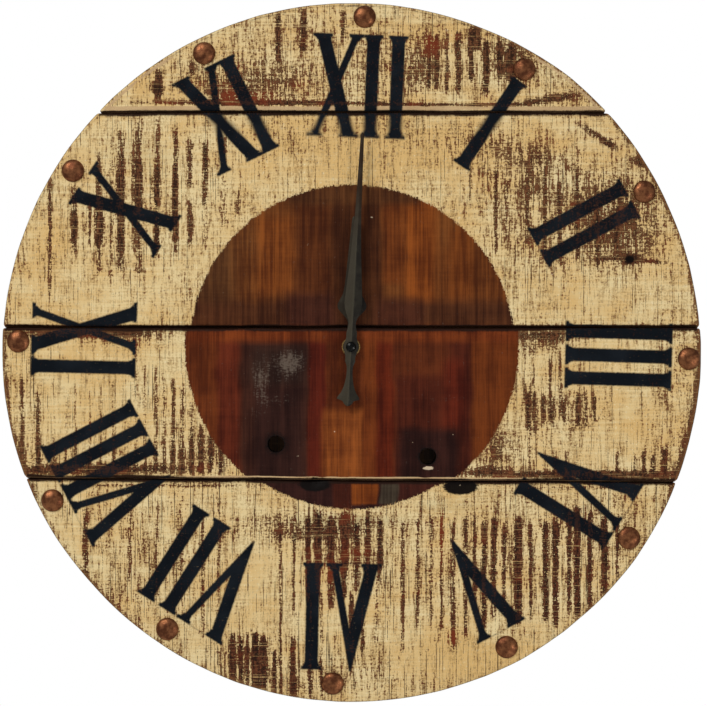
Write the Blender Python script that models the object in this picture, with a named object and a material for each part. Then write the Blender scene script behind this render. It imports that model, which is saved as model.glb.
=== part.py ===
"""Rustic wall clock: four rough-sawn planks cut to a disc, battens, quartz movement and hands.

Axes: the face looks along -Y, +X is right, +Z is up. The wall is the plane y = 0 and the
origin is the point where the saw-tooth hanger bears on its wall nail. All lengths are
written in millimetres and turned into metres when the meshes are made.
"""
import math

import bmesh
import bpy

for old in list(bpy.data.objects):
    bpy.data.objects.remove(old, do_unlink=True)

MM = 0.001

# dial and boards
DIAL_R = 305.0
DIAL_BELOW_HANGER = 245.0
BATTEN_T = 22.0
BOARD_T = 19.0
MIDDLE_BOARD_T = 22.0
JOINT_GAP = 1.5
EDGE_ROUND = 2.5
JOINT_TOP = 211.0
JOINT_UPPER = 22.5
JOINT_LOWER_LEFT = -109.3
JOINT_LOWER_RIGHT = -113.0
BACK = -BATTEN_T
FRONT = BACK - BOARD_T
FRONT_MIDDLE = BACK - MIDDLE_BOARD_T

# battens and their screws
BATTEN_W = 64.0
BATTEN_H = 524.0
BATTEN_X = 80.0
SCREW_Z = (238.0, 117.0, -44.0, -200.0)
SCREW_R = 2.0
SCREW_LENGTH = 34.0

# bolt holes left in the middle board
BOLT_HOLE_R = 6.75
BOLT_HOLES = ((-67.9, -79.7), (65.0, -90.5))

# dome nails at the twelve hours: degrees clockwise from twelve, radius
NAIL_R = 9.85
NAIL_DOME = 4.2
NAIL_SHANK = 15.0
NAILS = (
    (1.9, 294.6), (31.1, 290.0), (61.0, 291.3), (91.0, 293.5),
    (123.9, 290.7), (152.5, 290.4), (183.6, 290.1), (214.0, 291.7),
    (243.9, 293.7), (272.0, 293.5), (303.0, 293.0), (333.5, 293.3),
)

# movement: centre of the hands, case and layers
CX = -2.2
CZ = 5.3
CASE_SIDE = 56.0
CASE_WALL = 1.2
CASE_FRONT = BACK + 1.2
CASE_FLOOR = CASE_FRONT + CASE_WALL
CASE_RIM = -6.2
COVER_IN = -6.1
COVER_OUT = -4.9
BAY_TOP = -11.8
WALL_TOP = -10.6
BATTERY_R = 7.25
BATTERY_Z = -19.3
BATTERY_Y = -12.85

# bushing, nut and arbors
BUSH_R = 4.0
BUSH_BORE = 2.6
BUSH_END = FRONT_MIDDLE - 3.6
PIPE_R = 2.5
PIPE_BORE = 1.15
ARBOR_R = 1.05
PIVOT_R = 0.35
PIVOT_HOLE_R = 0.45

# gear train, movement coordinates
THIRD_AT = (-9.2, 5.657)
SECOND_AT = (-2.2, 13.076)
FIFTH_AT = (3.4, 15.23)
ROTOR_AT = (8.0, 12.70)
MOTION_AT = (8.0, 0.0)
SETTING_AT = (16.5, -5.268)
ADDENDUM = 0.65
DEDENDUM = 1.2

# hands, degrees clockwise from twelve
MINUTE_ANGLE = 3.1
HOUR_ANGLE = 1.4
HOUR_BACK = -48.9
MINUTE_BACK = -52.0
ARBOR_END = -54.6

root = bpy.data.objects.new("dial_centre", None)
bpy.context.scene.collection.objects.link(root)
root.location = (0.0, 0.0, -DIAL_BELOW_HANGER * MM)


def paint(ob, colour, metallic=0.0, roughness=0.5):
    mat = bpy.data.materials.new(ob.name)
    mat.use_nodes = True
    shader = mat.node_tree.nodes["Principled BSDF"]
    shader.inputs["Base Color"].default_value = (*colour, 1.0)
    shader.inputs["Metallic"].default_value = metallic
    shader.inputs["Roughness"].default_value = roughness
    mat.diffuse_color = (*colour, 1.0)
    ob.data.materials.append(mat)


def solid(name, verts, faces, at=(0.0, 0.0, 0.0)):
    """A mesh object from millimetre coordinates, with its origin at the point `at`."""
    mesh = bpy.data.meshes.new(name)
    points = [tuple((v[i] - at[i]) * MM for i in range(3)) for v in verts]
    mesh.from_pydata(points, [], faces)
    bm = bmesh.new()
    bm.from_mesh(mesh)
    bmesh.ops.recalc_face_normals(bm, faces=bm.faces)
    bm.to_mesh(mesh)
    bm.free()
    ob = bpy.data.objects.new(name, mesh)
    bpy.context.scene.collection.objects.link(ob)
    ob.parent = root
    ob.location = tuple(c * MM for c in at)
    return ob


def smooth(ob, degrees=35.0):
    for poly in ob.data.polygons:
        poly.use_smooth = True
    ob.data.set_sharp_from_angle(angle=math.radians(degrees))


def prism(name, outline, y0, y1, at=(0.0, 0.0, 0.0)):
    """An x, z outline carried from y0 to y1."""
    n = len(outline)
    verts = [(x, y0, z) for x, z in outline] + [(x, y1, z) for x, z in outline]
    faces = [tuple(range(n)), tuple(range(2 * n - 1, n - 1, -1))]
    for i in range(n):
        j = (i + 1) % n
        faces.append((i, j, n + j, n + i))
    return solid(name, verts, faces, at)


def lathe(name, profile, centre, axis="Y", segments=24, closed=False, at=(0.0, 0.0, 0.0)):
    """Turn a list of (radius, distance along the axis) about an axis through `centre`."""
    verts = []
    rings = []
    for r, h in profile:
        if r == 0.0:
            rings.append([len(verts)])
            verts.append((0.0, h, 0.0))
            continue
        rings.append(list(range(len(verts), len(verts) + segments)))
        for k in range(segments):
            a = 2.0 * math.pi * k / segments
            verts.append((r * math.cos(a), h, r * math.sin(a)))
    pairs = list(zip(rings, rings[1:]))
    if closed:
        pairs.append((rings[-1], rings[0]))
    faces = []
    for a, b in pairs:
        for k in range(segments):
            m = (k + 1) % segments
            if len(a) == 1:
                faces.append((a[0], b[k], b[m]))
            elif len(b) == 1:
                faces.append((a[k], b[0], a[m]))
            else:
                faces.append((a[k], b[k], b[m], a[m]))
    turned = []
    for x, y, z in verts:
        if axis == "X":
            x, y, z = y, x, z
        elif axis == "Z":
            x, y, z = x, z, y
        turned.append((x + centre[0], y + centre[1], z + centre[2]))
    return solid(name, turned, faces, at)


def box(name, low, high, at=(0.0, 0.0, 0.0)):
    outline = [(low[0], low[2]), (high[0], low[2]), (high[0], high[2]), (low[0], high[2])]
    return prism(name, outline, low[1], high[1], at)


def joined(name, pieces):
    """Several solids that do not touch, as one cutter mesh."""
    mesh = bpy.data.meshes.new(name)
    bm = bmesh.new()
    for piece in pieces:
        before = len(bm.verts)
        bm.from_mesh(piece.data)
        bm.verts.ensure_lookup_table()
        for v in bm.verts[before:]:
            v.co += piece.location
        bpy.data.objects.remove(piece, do_unlink=True)
    bm.to_mesh(mesh)
    bm.free()
    ob = bpy.data.objects.new(name, mesh)
    bpy.context.scene.collection.objects.link(ob)
    ob.parent = root
    return ob


def combine(ob, tool, operation="DIFFERENCE"):
    tool.hide_render = True
    tool.display_type = "WIRE"
    mod = ob.modifiers.new(tool.name, "BOOLEAN")
    mod.operation = operation
    mod.solver = "EXACT"
    mod.object = tool


def rod(name, r, y0, y1, x, z, segments=16, at=(0.0, 0.0, 0.0)):
    return lathe(name, [(0.0, y0), (r, y0), (r, y1), (0.0, y1)], (x, 0.0, z), "Y", segments, at=at)


def polar(degrees, r):
    a = math.radians(degrees)
    return r * math.sin(a), r * math.cos(a)


# ---------------------------------------------------------------- boards

def arc(a0, a1):
    count = max(4, math.ceil(abs(a1 - a0) / math.radians(3.0)))
    out = []
    for k in range(count + 1):
        a = a0 + (a1 - a0) * k / count
        out.append((DIAL_R * math.cos(a), DIAL_R * math.sin(a)))
    return out


def board_outline(low_left, low_right, high_left, high_right):
    """The disc between two nearly level saw cuts; None leaves that side on the rim."""
    if high_left is None:
        return arc(math.asin(low_right / DIAL_R), math.pi - math.asin(low_left / DIAL_R))
    if low_left is None:
        start = math.pi - math.asin(high_left / DIAL_R)
        return arc(start, 2.0 * math.pi + math.asin(high_right / DIAL_R))
    right = arc(math.asin(low_right / DIAL_R), math.asin(high_right / DIAL_R))
    left = arc(math.pi - math.asin(high_left / DIAL_R), math.pi - math.asin(low_left / DIAL_R))
    return right + left


def board(name, outline, front, colour):
    ob = prism(name, outline, BACK, front)
    bm = bmesh.new()
    bm.from_mesh(ob.data)
    face = [e for e in bm.edges if all(abs(v.co.y - front * MM) < 1e-6 for v in e.verts)]
    bmesh.ops.bevel(
        bm, geom=face, offset=EDGE_ROUND * MM, offset_type="OFFSET", segments=3,
        profile=0.5, affect="EDGES", clamp_overlap=True,
    )
    rear = [e for e in bm.edges if all(abs(v.co.y - BACK * MM) < 1e-6 for v in e.verts)]
    bmesh.ops.bevel(
        bm, geom=rear, offset=0.8 * MM, offset_type="OFFSET", segments=1,
        profile=0.5, affect="EDGES", clamp_overlap=True,
    )
    bm.to_mesh(ob.data)
    bm.free()
    paint(ob, colour, 0.0, 0.75)
    return ob


HALF = JOINT_GAP / 2.0
boards = (
    ("plank_top", (JOINT_TOP + HALF, JOINT_TOP + HALF, None, None), FRONT, (0.72, 0.55, 0.30)),
    (
        "plank_upper",
        (JOINT_UPPER + HALF, JOINT_UPPER + HALF, JOINT_TOP - HALF, JOINT_TOP - HALF),
        FRONT, (0.74, 0.56, 0.31),
    ),
    (
        "plank_middle",
        (
            JOINT_LOWER_LEFT + HALF, JOINT_LOWER_RIGHT + HALF,
            JOINT_UPPER - HALF, JOINT_UPPER - HALF,
        ),
        FRONT_MIDDLE, (0.76, 0.57, 0.32),
    ),
    (
        "plank_lower",
        (None, None, JOINT_LOWER_LEFT - HALF, JOINT_LOWER_RIGHT - HALF),
        FRONT, (0.73, 0.54, 0.29),
    ),
)
HANGER_NAILS = ((-25.0, DIAL_BELOW_HANGER + 5.5), (25.0, DIAL_BELOW_HANGER + 5.5))

for name, span, front, colour in boards:
    bottom = -DIAL_R if span[0] is None else min(span[0], span[1])
    top = DIAL_R if span[2] is None else max(span[2], span[3])
    made = board(name, board_outline(*span), front, colour)
    tools = []
    for degrees, r in NAILS:
        x, z = polar(degrees, r)
        if bottom < z < top:
            tools.append(rod("t", 1.6, front - 1.0, front + 16.0, x, z, 12))
    for z in SCREW_Z:
        if bottom < z < top:
            for side in (-1.0, 1.0):
                tools.append(rod("t", 2.2, BACK + 1.0, BACK - 13.5, side * BATTEN_X, z, 12))
    if name == "plank_middle":
        for x, z in BOLT_HOLES:
            tools.append(rod("t", BOLT_HOLE_R, front - 1.0, BACK + 1.0, x, z, 24))
        tools.append(rod("t", 5.0, front - 1.0, BACK + 1.0, CX, CZ, 24))
    if name == "plank_top":
        for x, z in HANGER_NAILS:
            tools.append(rod("t", 1.1, BACK + 1.0, BACK - 14.8, x, z, 12))
    combine(made, joined(name + "_holes", tools))

# ---------------------------------------------------------------- battens and screws

for side, word in ((-1.0, "left"), (1.0, "right")):
    x = side * BATTEN_X
    half = BATTEN_W / 2.0
    top = BATTEN_H / 2.0
    c = 1.5
    outline = [
        (x - half + c, -top), (x + half - c, -top), (x + half, -top + c), (x + half, top - c),
        (x + half - c, top), (x - half + c, top), (x - half, top - c), (x - half, -top + c),
    ]
    made = prism("batten_" + word, outline, BACK + 0.1, 0.0)
    paint(made, (0.16, 0.09, 0.045), 0.0, 0.8)
    tools = []
    for z in SCREW_Z:
        profile = [(0.0, 1.0), (5.8, 1.0), (4.95, 0.0), (2.3, -3.1), (2.3, BACK - 1.0)]
        profile.append((0.0, BACK - 1.0))
        tools.append(lathe("t", profile, (x, 0.0, z), "Y", 16))
    combine(made, joined("batten_" + word + "_holes", tools))
    for k, z in enumerate(SCREW_Z):
        profile = [
            (0.0, -0.2), (4.1, -0.2), (4.1, -0.5), (SCREW_R, -2.9),
            (SCREW_R, -SCREW_LENGTH + 3.0), (0.0, -SCREW_LENGTH),
        ]
        screw = lathe("batten_screw_%s_%d" % (word, k + 1), profile, (x, 0.0, z), "Y", 16)
        smooth(screw)
        paint(screw, (0.55, 0.48, 0.30), 1.0, 0.35)
        turn = 0.4 + 0.7 * k + 0.3 * side
        outline = []
        for quarter in range(4):
            a = turn + quarter * math.pi / 2.0
            for b, r in ((a - 0.2, 2.5), (a + 0.2, 2.5), (a + math.pi / 4.0, 0.75)):
                outline.append((x + r * math.cos(b), z + r * math.sin(b)))
        combine(screw, prism(screw.name + "_recess", outline, -1.7, 0.5))

# ---------------------------------------------------------------- dome nails

for k, (degrees, r) in enumerate(NAILS):
    hour = 12 if k == 0 else k
    x, z = polar(degrees, r)
    on_middle = JOINT_LOWER_RIGHT < z < JOINT_UPPER
    y = (FRONT_MIDDLE if on_middle else FRONT) - 0.1
    profile = [(0.0, y - NAIL_DOME)]
    for share in (0.4, 0.75, 1.0):
        rise = NAIL_DOME * math.sqrt(max(0.0, 1.0 - share * share))
        profile.append((NAIL_R * share, y - 0.25 - rise * 0.94))
    profile += [(NAIL_R - 0.3, y), (1.4, y), (1.1, y + NAIL_SHANK - 4.0), (0.0, y + NAIL_SHANK)]
    nail = lathe("dome_nail_%02d" % hour, profile, (x, 0.0, z), "Y", 18)
    smooth(nail)
    paint(nail, (0.30, 0.14, 0.07), 1.0, 0.38)

# ---------------------------------------------------------------- hanger

Z0 = DIAL_BELOW_HANGER
strip = [
    (-30.0, BACK + 0.1), (-19.0, BACK + 0.1), (-16.0, BACK + 2.2), (16.0, BACK + 2.2),
    (19.0, BACK + 0.1), (30.0, BACK + 0.1), (30.0, BACK + 1.1), (19.6, BACK + 1.1),
    (16.6, BACK + 3.2), (-16.6, BACK + 3.2), (-19.6, BACK + 1.1), (-30.0, BACK + 1.1),
]
n = len(strip)
verts = [(x, y, Z0) for x, y in strip] + [(x, y, Z0 + 11.0) for x, y in strip]
faces = [tuple(range(n)), tuple(range(2 * n - 1, n - 1, -1))]
faces += [(i, (i + 1) % n, n + (i + 1) % n, n + i) for i in range(n)]
hanger = solid("sawtooth_hanger", verts, faces)
paint(hanger, (0.60, 0.52, 0.30), 1.0, 0.4)
tools = []
for k in range(9):
    x = -12.0 + 3.0 * k
    tooth = [(x - 1.35, Z0 - 1.0), (x + 1.35, Z0 - 1.0), (x + 0.12, Z0 + 2.0), (x - 0.12, Z0 + 2.0)]
    tools.append(prism("t", tooth, BACK, BACK + 5.0))
for x, z in HANGER_NAILS:
    tools.append(rod("t", 1.25, BACK - 1.0, BACK + 2.0, x, z, 12))
combine(hanger, joined("hanger_cuts", tools))
for word, (x, z) in zip(("left", "right"), HANGER_NAILS):
    y = BACK + 1.2
    profile = [(0.0, y + 0.9), (2.0, y + 0.9), (2.7, y + 0.3), (2.7, y), (0.9, y)]
    profile += [(0.9, BACK - 12.0), (0.0, BACK - 14.0)]
    pin = lathe("hanger_nail_" + word, profile, (x, 0.0, z), "Y", 14)
    smooth(pin)
    paint(pin, (0.60, 0.52, 0.30), 1.0, 0.4)

# ---------------------------------------------------------------- movement case

def rounded(x0, z0, x1, z1, r, steps=4):
    out = []
    corners = ((x1 - r, z0 + r), (x1 - r, z1 - r), (x0 + r, z1 - r), (x0 + r, z0 + r))
    for quarter, (x, z) in enumerate(corners):
        start = 90.0 * (quarter - 1)
        for k in range(steps + 1):
            a = math.radians(start + 90.0 * k / steps)
            out.append((x + r * math.cos(a), z + r * math.sin(a)))
    return out


side = CASE_SIDE / 2.0
inner = side - CASE_WALL
pivots = (THIRD_AT, SECOND_AT, FIFTH_AT, ROTOR_AT, SETTING_AT)
posts = ((-24.4, 17.2), (-15.6, 24.9))

outline = rounded(CX - side, CZ - side, CX + side, CZ + side, 3.0)
case = prism("movement_case", outline, CASE_FRONT, CASE_RIM)
paint(case, (0.02, 0.02, 0.022), 0.0, 0.45)
tools = [
    box("t", (CX - inner, CASE_FLOOR, CZ + WALL_TOP), (CX + inner, 0.0, CZ + inner)),
    box("t", (CX - inner, CASE_FRONT + 0.6, CZ - inner), (CX + inner, 0.0, CZ + BAY_TOP)),
]
combine(case, joined("case_hollows", tools))
tools = [rod("t", BUSH_R + 0.15, CASE_FRONT - 1.0, CASE_FLOOR + 1.0, CX, CZ, 24)]
for x, z in pivots:
    tools.append(rod("t", PIVOT_HOLE_R, CASE_FLOOR - 0.8, CASE_FLOOR + 0.5, CX + x, CZ + z, 12))
combine(case, joined("case_bores", tools))
tools = [rod("t", 0.6, CASE_FLOOR - 0.4, CASE_FLOOR + 3.3, CX + MOTION_AT[0], CZ + MOTION_AT[1], 16)]
for x, z in posts:
    tools.append(rod("t", 1.3, CASE_FLOOR - 0.4, -8.7, CX + x, CZ + z, 12))
combine(case, joined("case_posts", tools), "UNION")

cover = prism(
    "movement_cover", rounded(CX - 27.9, CZ - 11.3, CX + 27.9, CZ + 27.9, 1.2, 2), COVER_IN, COVER_OUT,
)
paint(cover, (0.03, 0.03, 0.032), 0.0, 0.5)
tools = [rod("t", 0.6, COVER_IN - 1.0, COVER_OUT + 1.0, CX, CZ, 12)]
for x, z in pivots[:4]:
    tools.append(rod("t", PIVOT_HOLE_R, COVER_IN - 1.0, COVER_OUT + 1.0, CX + x, CZ + z, 12))
tools.append(rod("t", 1.15, COVER_IN - 1.0, COVER_OUT + 1.0, CX + SETTING_AT[0], CZ + SETTING_AT[1], 16))
combine(cover, joined("cover_holes", tools))

ring = [(8.0, BACK + 0.1), (14.0, BACK + 0.1), (14.0, CASE_FRONT - 0.1), (8.0, CASE_FRONT - 0.1)]
gasket = lathe("rubber_gasket", ring, (CX, 0.0, CZ), "Y", 32, True)
smooth(gasket)
paint(gasket, (0.015, 0.015, 0.015), 0.0, 0.8)

ring = [
    (BUSH_BORE, BUSH_END), (BUSH_R - 0.3, BUSH_END), (BUSH_R, BUSH_END + 0.3), (BUSH_R, CASE_FLOOR + 0.2),
    (5.5, CASE_FLOOR + 0.2), (5.5, CASE_FLOOR + 0.8), (BUSH_BORE, CASE_FLOOR + 0.8),
]
bushing = lathe("threaded_bushing", ring, (CX, 0.0, CZ), "Y", 24, True)
smooth(bushing)
paint(bushing, (0.72, 0.52, 0.22), 1.0, 0.3)

y = FRONT_MIDDLE - 0.05
ring = [(BUSH_R + 0.15, y), (8.25, y), (8.25, y - 0.8), (8.0, y - 1.1), (BUSH_R + 0.15, y - 1.1)]
washer = lathe("brass_washer", ring, (CX, 0.0, CZ), "Y", 32, True)
smooth(washer)
paint(washer, (0.72, 0.52, 0.22), 1.0, 0.3)

hexagon = []
for k in range(6):
    a = math.radians(15.0 + 60.0 * k)
    hexagon.append((CX + 6.93 * math.cos(a), CZ + 6.93 * math.sin(a)))
nut = prism("hex_nut", hexagon, y - 1.15, y - 3.2)
paint(nut, (0.72, 0.52, 0.22), 1.0, 0.3)
combine(nut, rod("hex_nut_bore", BUSH_R + 0.15, y, y - 4.2, CX, CZ, 24))

# ---------------------------------------------------------------- gear train

def gear_outline(teeth, module, phase):
    """Straight-flanked teeth; `phase` is the angle of one tooth's middle."""
    r = teeth * module / 2.0
    pitch = 2.0 * math.pi / teeth
    out = []
    for k in range(teeth):
        middle = phase + k * pitch
        corners = ((-0.25, -DEDENDUM), (-0.10, ADDENDUM), (0.10, ADDENDUM), (0.25, -DEDENDUM))
        for offset, rise in corners:
            a = middle + offset * pitch
            out.append(((r + rise * module) * math.cos(a), (r + rise * module) * math.sin(a)))
    return out


def gear(name, teeth, module, phase, where, y0, y1):
    at = (CX + where[0], 0.0, CZ + where[1])
    outline = [(x + at[0], z + at[2]) for x, z in gear_outline(teeth, module, phase)]
    return prism(name, outline, y0, y1, at)


def mate(phase, teeth, other, start, end):
    """Phase of the gear at `end` whose gap receives a tooth of the gear at `start`."""
    way = math.atan2(end[1] - start[1], end[0] - start[0])
    share = ((way - phase) * teeth / (2.0 * math.pi)) % 1.0
    return way + math.pi + (share - 0.5) * 2.0 * math.pi / other


CENTRE = (0.0, 0.0)
FLOOR = CASE_FLOOR
phase_centre = 0.0
phase_third_pinion = mate(phase_centre, 64, 8, CENTRE, THIRD_AT)
phase_second_pinion = mate(0.0, 60, 8, THIRD_AT, SECOND_AT)
phase_fifth_pinion = mate(0.0, 40, 8, SECOND_AT, FIFTH_AT)
phase_rotor = mate(0.0, 36, 6, FIFTH_AT, ROTOR_AT)
phase_motion = mate(0.0, 10, 30, CENTRE, MOTION_AT)
phase_setting = mate(phase_motion, 30, 20, MOTION_AT, SETTING_AT)
phase_hour = mate(0.0, 8, 32, MOTION_AT, CENTRE)


def arbor(name, where, r=0.5):
    """A stepped shaft whose thin ends turn in the case floor and the cover."""
    at = (CX + where[0], 0.0, CZ + where[1])
    front = FLOOR + 0.3
    back = COVER_IN - 0.3
    profile = [(0.0, FLOOR - 0.6), (PIVOT_R, FLOOR - 0.6), (PIVOT_R, front), (r, front), (r, back)]
    profile += [(PIVOT_R, back), (PIVOT_R, COVER_OUT - 0.3), (0.0, COVER_OUT - 0.3)]
    return lathe(name, profile, at, "Y", 12, at=at)


steel = (0.62, 0.62, 0.60)
ivory = (0.78, 0.74, 0.62)

centre = gear("centre_wheel", 64, 0.3, phase_centre, CENTRE, FLOOR + 3.6, FLOOR + 4.3)
combine(centre, gear("minute_pinion", 10, 0.4, 0.0, CENTRE, FLOOR + 2.3, FLOOR + 3.1), "UNION")
at = (CX, 0.0, CZ)
profile = [
    (0.0, ARBOR_END), (ARBOR_R - 0.2, ARBOR_END), (ARBOR_R, ARBOR_END + 0.2), (ARBOR_R, FLOOR + 2.7),
    (1.4, FLOOR + 2.7), (1.4, FLOOR + 4.8), (ARBOR_R, FLOOR + 4.8), (ARBOR_R, COVER_IN - 0.3),
    (0.5, COVER_IN - 0.3), (0.5, COVER_OUT - 0.3), (0.0, COVER_OUT - 0.3),
]
combine(centre, lathe("centre_arbor", profile, at, "Y", 24, at=at), "UNION")
paint(centre, (0.70, 0.55, 0.25), 1.0, 0.35)

third = gear("third_wheel", 60, 0.3, 0.0, THIRD_AT, FLOOR + 5.2, FLOOR + 5.8)
pinion = gear("third_pinion", 8, 0.3, phase_third_pinion, THIRD_AT, FLOOR + 3.3, FLOOR + 4.6)
combine(third, pinion, "UNION")
combine(third, arbor("third_arbor", THIRD_AT), "UNION")
paint(third, ivory, 0.0, 0.4)

second = gear("second_wheel", 40, 0.25, 0.0, SECOND_AT, FLOOR + 6.6, FLOOR + 7.2)
pinion = gear("second_pinion", 8, 0.3, phase_second_pinion, SECOND_AT, FLOOR + 4.9, FLOOR + 6.1)
combine(second, pinion, "UNION")
combine(second, arbor("second_arbor", SECOND_AT), "UNION")
paint(second, (0.10, 0.22, 0.35), 0.0, 0.4)

fifth = gear("fifth_wheel", 36, 0.25, 0.0, FIFTH_AT, FLOOR + 8.0, FLOOR + 8.6)
pinion = gear("fifth_pinion", 8, 0.25, phase_fifth_pinion, FIFTH_AT, FLOOR + 6.3, FLOOR + 7.5)
combine(fifth, pinion, "UNION")
combine(fifth, arbor("fifth_arbor", FIFTH_AT), "UNION")
paint(fifth, (0.75, 0.72, 0.66), 0.0, 0.4)

at = (CX + ROTOR_AT[0], 0.0, CZ + ROTOR_AT[1])
rotor = gear("rotor", 6, 0.25, phase_rotor, ROTOR_AT, FLOOR + 7.6, FLOOR + 8.9)
profile = [
    (0.0, FLOOR - 0.6), (PIVOT_R, FLOOR - 0.6), (PIVOT_R, FLOOR + 8.0), (0.42, FLOOR + 8.0),
    (0.42, FLOOR + 9.1), (2.2, FLOOR + 9.1), (2.2, FLOOR + 10.9), (PIVOT_R, FLOOR + 10.9),
    (PIVOT_R, COVER_OUT - 0.3), (0.0, COVER_OUT - 0.3),
]
combine(rotor, lathe("rotor_magnet", profile, at, "Y", 20, at=at), "UNION")
paint(rotor, (0.12, 0.12, 0.13), 0.6, 0.35)

at = (CX + MOTION_AT[0], 0.0, CZ + MOTION_AT[1])
motion = gear("motion_wheel", 30, 0.4, phase_motion, MOTION_AT, FLOOR + 2.3, FLOOR + 3.1)
combine(motion, gear("motion_pinion", 8, 0.4, 0.0, MOTION_AT, FLOOR + 0.9, FLOOR + 2.5), "UNION")
combine(motion, rod("motion_bore", 0.68, FLOOR, FLOOR + 4.0, at[0], at[2], 20, at))
paint(motion, (0.80, 0.78, 0.72), 0.0, 0.4)

at = (CX, 0.0, CZ)
hour = gear("hour_wheel", 32, 0.4, phase_hour, CENTRE, FLOOR + 1.1, FLOOR + 1.9)
combine(hour, rod("hour_pipe", PIPE_R, -50.2, FLOOR + 1.5, CX, CZ, 24, at), "UNION")
combine(hour, rod("hour_bore", PIPE_BORE, -52.0, FLOOR + 3.0, CX, CZ, 24, at))
paint(hour, (0.82, 0.80, 0.74), 0.0, 0.4)

at = (CX + SETTING_AT[0], 0.0, CZ + SETTING_AT[1])
setting = gear("setting_wheel", 20, 0.4, phase_setting, SETTING_AT, FLOOR + 2.3, FLOOR + 3.1)
profile = [
    (0.0, FLOOR - 0.6), (PIVOT_R, FLOOR - 0.6), (PIVOT_R, FLOOR + 0.3), (1.0, FLOOR + 0.3),
    (1.0, -3.1), (0.0, -3.1),
]
combine(setting, lathe("setting_arbor", profile, at, "Y", 16, at=at), "UNION")
paint(setting, (0.80, 0.78, 0.72), 0.0, 0.4)

knurl = []
for k in range(24):
    a = 2.0 * math.pi * k / 24.0
    for offset, r in ((-0.07, 5.55), (-0.03, 6.0), (0.03, 6.0), (0.07, 5.55)):
        knurl.append((at[0] + r * math.cos(a + offset), at[2] + r * math.sin(a + offset)))
knob = prism("setting_knob", knurl, -4.6, -1.8, at)
paint(knob, (0.05, 0.05, 0.055), 0.0, 0.4)
combine(knob, rod("knob_bore", 1.1, -5.0, -2.9, at[0], at[2], 20, at))
slot = box("knob_slot", (at[0] - 3.8, -2.3, at[2] - 0.5), (at[0] + 3.8, -1.0, at[2] + 0.5), at)
combine(knob, slot)

# ---------------------------------------------------------------- motor, board and battery

stator_outline = [
    (4.6, 9.4), (13.6, 9.4), (13.6, 2.6), (22.6, 2.6), (22.6, 5.2), (16.2, 5.2),
    (16.2, 20.4), (22.6, 20.4), (22.6, 23.0), (13.6, 23.0), (13.6, 16.0), (4.6, 16.0),
]
stator = prism("stator", [(CX + x, CZ + z) for x, z in stator_outline], FLOOR + 9.4, FLOOR + 10.4)
paint(stator, steel, 1.0, 0.4)
combine(stator, rod("stator_bore", 2.7, FLOOR + 9.0, FLOOR + 11.0, CX + ROTOR_AT[0], CZ + ROTOR_AT[1], 24))

profile = [
    (0.0, 5.4), (1.0, 5.4), (1.0, 6.2), (3.2, 6.2), (3.2, 6.8), (2.8, 6.8), (2.8, 18.8),
    (3.2, 18.8), (3.2, 19.4), (1.0, 19.4), (1.0, 20.2), (0.0, 20.2),
]
coil = lathe("coil", [(r, h + CZ) for r, h in profile], (CX + 20.0, FLOOR + 9.9, 0.0), "Z", 18)
smooth(coil)
paint(coil, (0.45, 0.18, 0.06), 0.8, 0.35)

pcb = box("circuit_board", (CX - 26.2, -8.6, CZ + 15.4), (CX - 13.6, -7.8, CZ + 26.4))
paint(pcb, (0.03, 0.16, 0.08), 0.0, 0.45)
profile = [(0.0, -10.0), (1.4, -9.8), (2.3, -9.2), (2.5, -8.7), (0.0, -8.7)]
chip = lathe("clock_chip", profile, (CX - 19.2, 0.0, CZ + 19.6), "Y", 14)
smooth(chip)
paint(chip, (0.01, 0.01, 0.01), 0.0, 0.35)
profile = [(0.0, CX - 25.4), (1.0, CX - 25.4), (1.0, CX - 19.4), (0.0, CX - 19.4)]
crystal = lathe("quartz_crystal", profile, (0.0, -9.75, CZ + 24.6), "X", 14)
smooth(crystal)
paint(crystal, (0.75, 0.75, 0.76), 1.0, 0.25)

profile = [
    (0.0, -25.2), (6.4, -25.2), (BATTERY_R, -24.7), (BATTERY_R, 23.7), (6.9, 24.2),
    (2.75, 24.2), (2.75, 25.3), (0.0, 25.3),
]
profile = [(r, h + CX) for r, h in profile]
at = (CX, BATTERY_Y, CZ + BATTERY_Z)
battery = lathe("battery", profile, (0.0, BATTERY_Y, CZ + BATTERY_Z), "X", 28, at=at)
smooth(battery)
paint(battery, (0.10, 0.10, 0.11), 0.7, 0.3)
for word, x0, x1, b0, b1 in (("left", -26.65, -26.15, -26.2, -25.5), ("right", 26.15, 26.65, 25.7, 26.2)):
    low = (CX + x0, -19.2, CZ - 24.2)
    strip = box("battery_contact_" + word, low, (CX + x1, -7.2, CZ - 14.4))
    paint(strip, (0.80, 0.80, 0.78), 1.0, 0.25)
    x0, x1 = CX + b0, CX + b1
    bump = lathe(
        "contact_bump_" + word, [(0.0, x0), (2.2, x0), (2.2, x1), (0.0, x1)],
        (0.0, BATTERY_Y, CZ + BATTERY_Z), "X", 16,
    )
    combine(strip, bump, "UNION")

# ---------------------------------------------------------------- hands

def hand(name, stations, degrees, back, edge, ridge):
    """A ridged blade: (distance from the arbor, half width) pairs, tail first."""
    a = math.radians(degrees)
    verts = []
    for u, v in stations:
        for side_v, y in ((-v, back), (-v, back - edge), (0.0, back - ridge), (v, back - edge), (v, back)):
            x = CX + u * math.sin(a) + side_v * math.cos(a)
            z = CZ + u * math.cos(a) - side_v * math.sin(a)
            verts.append((x, y, z))
    faces = [(4, 3, 2, 1, 0)]
    for k in range(len(stations) - 1):
        p = 5 * k
        for i in range(5):
            j = (i + 1) % 5
            faces.append((p + i, p + j, p + 5 + j, p + 5 + i))
    p = 5 * (len(stations) - 1)
    faces.append((p, p + 1, p + 2, p + 3, p + 4))
    made = solid(name, verts, faces, (CX, 0.0, CZ))
    paint(made, (0.045, 0.047, 0.04), 0.9, 0.42)
    return made


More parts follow.
